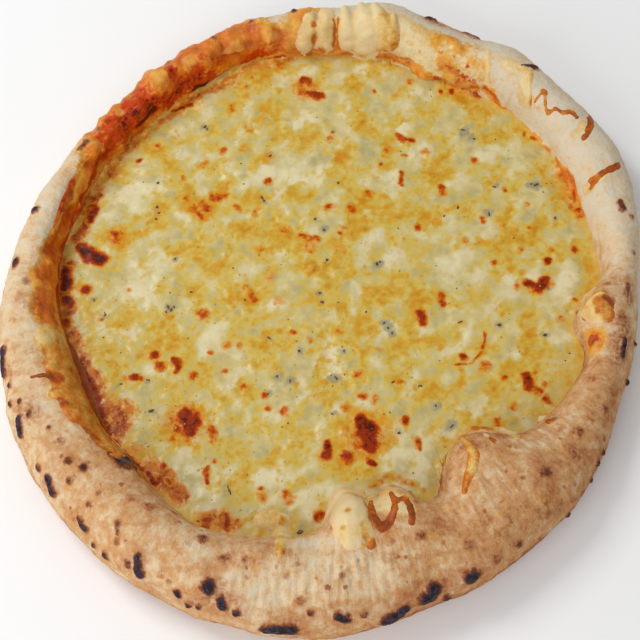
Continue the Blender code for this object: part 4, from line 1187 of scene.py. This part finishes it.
# How toasted it is: 0.3 golden, 0.6 orange, 0.8 brown, 1 nearly black
RIM_TOAST = (
    (0.26, (306, 30, 40), (324, 30, 40)), (0.1, (366, 30, 60)),
    (0.4, (385, 16, 18), (390, 34, 26), (391, 50, 26)), (0.3, (380, 50, 12)),
    (0.2, (342, 22, 10)), (0.35, (362, 54, 12)), (0.35, (352, 30, 6), (353, 50, 6)),
    (0.6, (313, 24, 8), (313, 40, 9), (310, 54, 10)), (0.55, (292, 26, 14), (288, 44, 12)),
    (0.6, (336, 20, 9), (334, 44, 9)), (0.5, (322, 50, 14)), (0.45, (296, 20, 10)),
    (0.3, (580, 300, 24), (592, 312, 24)), (0.5, (583, 322, 12), (578, 312, 8)),
    (0.55, (596, 300, 16), (606, 306, 22), (612, 320, 16)), (0.9, (606, 298, 10), (613, 304, 10)),
    (0.7, (598, 310, 9)), (0.3, (46, 332, 26), (46, 344, 26)), (0.6, (56, 342, 12)),
    (0.55, (64, 360, 60), (76, 392, 84), (90, 420, 84), (112, 452, 60)), (0.8, (70, 372, 12)),
    (0.84, (69, 338, 12), (77, 358, 15), (84, 376, 15), (90, 396, 15), (97, 414, 14),
     (106, 432, 12)),
    (0.8, (60, 400, 10), (66, 404, 8)), (0.75, (84, 430, 12), (98, 440, 10)),
    (0.4, (50, 396, 10)), (0.8, (58, 378, 12)), (0.24, (346, 536, 14), (362, 530, 12)),
    (0.5, (348, 511, 8)), (0.65, (372, 545, 14)), (0.45, (362, 524, 8), (366, 538, 12)),
    (0.4, (344, 528, 8)), (0.4, (326, 500, 6)), (0.28, (268, 520, 34), (281, 538, 24)),
    (0.5, (282, 520, 9), (280, 552, 12)),
    (0.74, (369, 488, 12), (370, 505, 12), (376, 520, 14), (384, 527, 16), (391, 518, 16),
     (395, 506, 14), (388, 490, 12)),
    (0.72, (394, 499, 10), (402, 500, 10), (410, 488, 10)),
    (0.82, (408, 502, 12), (412, 522, 16)),
    (0.88, (374, 517, 14), (384, 527, 16), (393, 517, 14)), (0.95, (412, 516, 14)),
    (0.44, (460, 436, 16), (468, 446, 18), (474, 458, 22), (470, 472, 20), (464, 492, 18)),
    (0.6, (468, 476, 12), (464, 490, 12)), (0.4, (462, 434, 18), (490, 430, 20), (518, 436, 18)),
    (0.6, (474, 429, 9), (492, 431, 9)), (0.8, (492, 440, 10)),
    (0.58, (534, 103, 14), (544, 90, 14), (546, 112, 14), (556, 108, 14)),
    (0.7, (556, 108, 8), (577, 117, 14)), (0.8, (590, 116, 20), (584, 138, 20)),
    (0.78, (617, 166, 20), (604, 172, 20)), (0.66, (594, 180, 20), (590, 189, 14)),
    (0.8, (548, 420, 20)), (0.85, (31, 376, 18), (58, 379, 18)), (0.25, (488, 66, 30)),
    (0.25, (524, 72, 40)),
)


def softened(grid, there, rounds):
    """A grid of points with each one drawn towards the neighbours that are there."""
    for _ in range(rounds):
        total, count = grid * there[..., None], there.astype(float)
        for step, axis in ((1, 0), (-1, 0), (1, 1), (-1, 1)):
            total = total + np.roll(grid * there[..., None], step, axis)
            count = count + np.roll(there, step, axis)
        grid = total / np.maximum(count, 1)[..., None]
    return grid


def melt(name, thick, uneven, strokes, target):
    """A mesh of melted cheese on a skin. Its height comes from strokes, and where that runs
    out it dips under the skin, so its edge follows the skin's own relief."""
    stops = np.array([stop for stroke in strokes for stop in stroke], float)
    low = (stops[:, :2] - stops[:, 2:]).min(0)
    high = (stops[:, :2] + stops[:, 2:]).max(0)
    xs, ys = np.arange(low[0], high[0], MELT_STEP), np.arange(low[1], high[1], MELT_STEP)
    grid = np.stack(np.meshgrid(xs, ys, indexing="ij"), -1)
    humps = np.zeros(grid.shape[:2])
    for stroke in strokes:
        stroke, hump = np.array(stroke, float), np.full(grid.shape[:2], FAR_OUTSIDE)
        for start, end in zip(stroke, stroke[1:]):
            along = end[:2] - start[:2]
            share = np.clip((grid - start[:2]) @ along / max(along @ along, 1e-9), 0, 1)
            away = np.linalg.norm(grid - start[:2] - share[..., None] * along, axis=2)
            wide = (start[2] + (end[2] - start[2]) * share) / 2
            hump = np.maximum(hump, 1 - (away / wide) ** 2)
        humps += np.exp(MERGING * hump)
    height = np.log(humps) / MERGING
    rough = [noise.noise(Vector((x, y, 0)) / ROUGH_SIZE) for x, y in grid.reshape(-1, 2)]
    height = height + uneven * np.reshape(rough, height.shape)
    height = np.clip(height, LOWEST_MELT, HIGHEST_MELT)
    there = np.zeros(height.shape, bool)
    tops, bottoms, leans = (np.zeros((*height.shape, 3)) for _ in range(3))
    lifts = np.zeros(height.shape)
    for (i, j), rise in np.ndenumerate(height):
        if height[max(i - 1, 0):i + 2, max(j - 1, 0):j + 2].max() > LOWEST_MELT:
            point, normal = under(target, *grid[i, j])
            lift = rise * MELT_SINK
            if rise > 0:
                ripple = noise.noise(Vector(grid[i, j]).to_3d() / RIPPLE_PIXELS) * uneven
                lift = rise ** MELT_SHOULDER * (1 + ripple) * thick * MM - MELT_SUNK
            there[i, j] = True
            tops[i, j], leans[i, j], lifts[i, j] = point, normal, lift
            bottoms[i, j] = point - normal * 2 * MELT_SINK
    leans = softened(leans, there, LEAN_SOFTENING)
    leans /= np.maximum(np.linalg.norm(leans, axis=2, keepdims=True), 0.1)
    tops = softened(tops + leans * lifts[..., None], there, MELT_SOFTENING)
    points, values, names = [], [], {}
    for i, j in np.argwhere(there):
        names[i, j] = len(points)
        points += [tops[i, j], bottoms[i, j]]
        values += [max(height[i, j], 0)] * 2
    faces, edges = [], {}
    for i, j in names:
        corners = [names.get(key) for key in ((i, j), (i + 1, j), (i + 1, j + 1), (i, j + 1))]
        if None not in corners:
            faces.append(corners)
            faces.append([corner + 1 for corner in reversed(corners)])
            for a, b in zip(corners, corners[1:] + corners[:1]):
                edges[a, b] = True
    faces += [(b, a, a + 1, b + 1) for a, b in edges if (b, a) not in edges]
    mesh = bpy.data.meshes.new(name)
    mesh.from_pydata([tuple(point) for point in points], [], faces)
    face_outwards(mesh)
    remember(mesh, "rise", values)
    return mesh


# From cream over golden and orange to nearly black
MELT_TINTS = ((0.05, shade(228, 208, 160)), (0.22, shade(224, 196, 126)),
              (0.4, shade(212, 164, 62)), (0.6, shade(206, 116, 16)),
              (0.78, shade(164, 68, 8)), (1.0, shade(84, 28, 8)))
THIN_PALE, THIN_BROWN = shade(228, 194, 146), shade(180, 100, 40)


def melt_finish():
    """Cheese toasted as its marks say, which lets the dough show where it is thin."""
    material, shader, place = finish("rim_cheese", roughness=0.4, subsurface_weight=0.1,
                                     subsurface_scale=1 * MM, specular_ior_level=0.12,
                                     coat_weight=0.12, coat_roughness=0.2)
    rise, toast, blend = place.recall("rise"), place.recall("toast"), place.recall("blend")
    lumps, fine = place.grain(5 * MM, 3, 0.6), place.grain(1.6 * MM, 3)
    heat = toast - rise * 0.16 + 0.13 + lumps.swing(0.5) + fine.swing(0.35)
    colour = heat.add("ShaderNodeValToRGB", {"stops": MELT_TINTS}, {"Fac": heat})
    thinned = (rise + lumps.swing(0.5)).ramp(0.0, 0.8, 1.0, 0.35) * blend
    colour = thinned.mix(colour, heat.ramp(0.3, 0.6).mix(THIN_PALE, THIN_BROWN))
    feed(shader, base_color=colour, roughness=0.34 + fine * 0.25,
         normal=bumped(fine + lumps, 0.4 * MM, 0.5))
    return material


def melt_relief():
    """Small soft ripples."""
    sizes, close = shape_tree("melt relief", ("Ripple Size", "Ripple Height"))
    start = sizes["Geometry"]
    place = start.add("GeometryNodeInputPosition")
    normal = start.add("GeometryNodeInputNormal")
    ripple = place.grain(sizes["Ripple Size"]).swing(sizes["Ripple Height"])
    return close(start.pushed(normal, ripple))


ripple_tree = melt_relief()
ground = tree_of(crust, cheese)
rim_finish = melt_finish()
for name, (thick, uneven, blend, strokes) in {**RIM_CHEESE, **BAKED_SHREDS}.items():
    mesh = melt(name + "_melt", thick, uneven, strokes, ground)
    remember(mesh, "toast", marked(coordinates(mesh), RIM_TOAST, ground, TOAST_WOBBLE))
    remember(mesh, "blend", np.full(len(mesh.vertices), blend))
    piece = worked(name + "_melt", mesh, ripple_tree, rim_finish, {
        "Ripple Size": 5 * MM, "Ripple Height": 0.2 * MM})
    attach(piece, "root")
    if name in RIM_CHEESE:
        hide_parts(name)
    browned = name in ("cheese_loops_front", "browned_shreds")

# ---------------------------------------------------------------- crumbs of blue mould
# Dark specks and short threads of the blue cheese's mould, that lie in the melted cheese.
# Each is a small uneven grain, half sunk. They are one piece.

RANDOM_GRAINS = 420
GRAIN_RANGE = (0.35 * MM, 1.1 * MM)
GRAIN_SUNK = 0.5
# Mould lies in patches of this size in pixels, where soft noise is over a level
PATCH_SIZE, PATCH_LEVEL = 40, -0.1
# The pool in pixels: where grains may fall, and the middle and half sizes of its ellipse
POOL_ACROSS, POOL_DOWN = (60, 600), (55, 530)
POOL_X, POOL_Y, POOL_WIDE, POOL_HIGH = 328, 292, 262, 228
SEED = 7


def scattered_tree():
    """Uneven grains on points, each turned and stretched as its point says."""
    sizes, close = shape_tree("scattered grains", ("Unevenness",))
    start = sizes["Geometry"]
    ball = start.add("GeometryNodeMeshIcoSphere", (), {"Radius": 0.5, "Subdivisions": 2})
    place = start.add("GeometryNodeInputPosition")
    drift = place.add("ShaderNodeTexNoise", (), {"Vector": place, "Scale": 2.5}, "Color")
    centred = drift.add("ShaderNodeVectorMath", {"operation": "SUBTRACT"}, {
        0: drift, 1: (0.5, 0.5, 0.5)})
    return close(start.add("GeometryNodeInstanceOnPoints", (), {
        "Points": start.add("GeometryNodeMeshToPoints", (), {"Mesh": start}),
        "Instance": ball.pushed(centred, sizes["Unevenness"]),
        "Rotation": start.keep("turn", "FLOAT_VECTOR"),
        "Scale": start.keep("stretch", "FLOAT_VECTOR")}))


def grains(name, places, target, material, sunk):
    """One piece of many grains on a surface. Each place is a pixel across and down, a
    length, a width and a height in metres, and a turn."""
    points, turns, stretches = [], [], []
    for x, y, long, wide, high, turn in places:
        point, normal = under(target, x, y)
        points.append(point + normal * high * (0.5 - sunk))
        stand = normal.to_track_quat("Z", "X").to_matrix()
        turns.append((stand @ Euler((0, 0, turn)).to_matrix()).to_euler())
        stretches.append((long, wide, high))
    mesh = bpy.data.meshes.new(name)
    mesh.from_pydata(points, [], [])
    remember(mesh, "turn", turns)
    remember(mesh, "stretch", stretches)
    piece = worked(name, mesh, scattered_tree(), material, {"Unevenness": 0.8})
    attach(piece, "root")


def inside_pool(x, y):
    """Whether a pixel lies on the cheese pool, by the ellipse it nearly fills."""
    return ((x - POOL_X) / POOL_WIDE) ** 2 + ((y - POOL_Y) / POOL_HIGH) ** 2 < 1


dice = np.random.default_rng(SEED)
places = [(x, y, long * PIXEL, wide * PIXEL, wide * PIXEL * 0.7, math.radians(turn))
          for x, y, long, wide, turn in MOULD_GRAINS]
while len(places) < len(MOULD_GRAINS) + RANDOM_GRAINS:
    x, y = dice.uniform(*POOL_ACROSS), dice.uniform(*POOL_DOWN)
    long = GRAIN_RANGE[0] + (GRAIN_RANGE[1] - GRAIN_RANGE[0]) * dice.random() ** 3
    turn = dice.uniform(0, math.pi)
    if inside_pool(x, y) and noise.noise(Vector((x, y, 0)) / PATCH_SIZE) > PATCH_LEVEL:
        places.append((x, y, long, long * dice.uniform(0.4, 0.9), long * 0.5, turn))
mould, mould_shader, mould_place = finish("blue_mould", specular_ior_level=0.1)
mould_colour = mould_place.grain(2 * MM, 2).ramp(0.35, 0.65)
mould_colour = mould_colour.mix(shade(100, 60, 46), shade(132, 106, 84))
feed(mould_shader, base_color=mould_colour, roughness=mould_place.grain(1 * MM, 2) * 0.2 + 0.8)
grains("mould_grains", places, cheese_tree, mould, GRAIN_SUNK)

# ---------------------------------------------------------------- beads of fat
# Small clear beads of butterfat on the cheese, which catch the light. They are one piece.

RANDOM_BEADS = 160
BEAD_RANGE = (0.5 * MM, 1.3 * MM)
BEAD_SUNK = 0.2
# Most lie in the front left of the pool: the middle and the spread of the others in pixels
BEADS_ACROSS, BEADS_DOWN = (210, 110), (400, 90)
BEAD_SPOTS = (
    (145, 412), (150, 420), (137, 405), (196, 396), (182, 405), (176, 428), (160, 440),
    (148, 446), (205, 458), (198, 470), (182, 480), (165, 470), (230, 470), (212, 500),
    (240, 510), (127, 330), (128, 352), (83, 345), (95, 350), (107, 350), (392, 432), (380, 440),
    (350, 470), (540, 286), (120, 434), (132, 446), (171, 486), (214, 414), (206, 432),
    (226, 452),
)

places = []
for x, y in BEAD_SPOTS:
    size = dice.uniform(*BEAD_RANGE)
    places.append((x, y, size, size * 0.9, size * 0.6, 0))
while len(places) < len(BEAD_SPOTS) + RANDOM_BEADS:
    x, y = dice.normal(*BEADS_ACROSS), dice.normal(*BEADS_DOWN)
    size = dice.uniform(*BEAD_RANGE) * 0.8
    if inside_pool(x, y):
        places.append((x, y, size, size * 0.8, size * 0.5, dice.uniform(0, math.pi)))
bead_finish, bead_shader, bead_place = finish("bead_of_fat", coat_weight=0.8, coat_roughness=0.05)
bead_colour = bead_place.grain(9 * MM, 2).ramp(0.35, 0.65)
bead_colour = bead_colour.mix(shade(206, 184, 112), shade(206, 156, 66))
feed(bead_shader, base_color=bead_colour, roughness=bead_place.grain(2 * MM, 2) * 0.1 + 0.1)
grains("beads_of_fat", places, cheese_tree, bead_finish, BEAD_SUNK)

# ---------------------------------------------------------------- floor and light
# A plain pale floor, soft light from high on the left and pale light all round.

FLOOR_SIDE = 6.0
SKY_STRENGTH = 0.45
# Each soft light: its place and its side in metres, and its power in watts
KEY_LIGHT = ((-0.75, 0.45, 1.1), 0.55, 8.4)
FILL_LIGHT = ((-0.6, -0.95, 0.62), 0.8, 6.8)

floor_mesh = bpy.data.meshes.new("floor")
half = FLOOR_SIDE / 2
floor_mesh.from_pydata([(-half, -half, 0), (half, -half, 0), (half, half, 0), (-half, half, 0)],
                       [], [(0, 1, 2, 3)])
floor = bpy.data.objects.new("floor", floor_mesh)
bpy.context.scene.collection.objects.link(floor)
floor_paint, floor_shader, floor_place = finish("pale_floor", roughness=0.9)
floor_colour = floor_place.grain(0.4, 2).mix(shade(250, 250, 250), shade(246, 246, 246))
feed(floor_shader, base_color=floor_colour)
floor_mesh.materials.append(floor_paint)

world = bpy.data.worlds.new("studio")
world.use_nodes = True
world.node_tree.nodes["Background"].inputs["Color"].default_value = (1, 1, 1, 1)
world.node_tree.nodes["Background"].inputs["Strength"].default_value = SKY_STRENGTH
bpy.context.scene.world = world


def softbox(name, place, size, power):
    """A square soft light that faces the pizza."""
    light = bpy.data.lights.new(name, "AREA")
    light.shape, light.size, light.energy = "SQUARE", size, power
    lamp = bpy.data.objects.new(name, light)
    lamp.location = place
    lamp.rotation_euler = (-Vector(place)).to_track_quat("-Z", "Y").to_euler()
    bpy.context.scene.collection.objects.link(lamp)


softbox("key", *KEY_LIGHT)
softbox("fill", *FILL_LIGHT)
bpy.context.scene.view_settings.view_transform = "Standard"
bpy.context.scene.view_settings.look = "None"
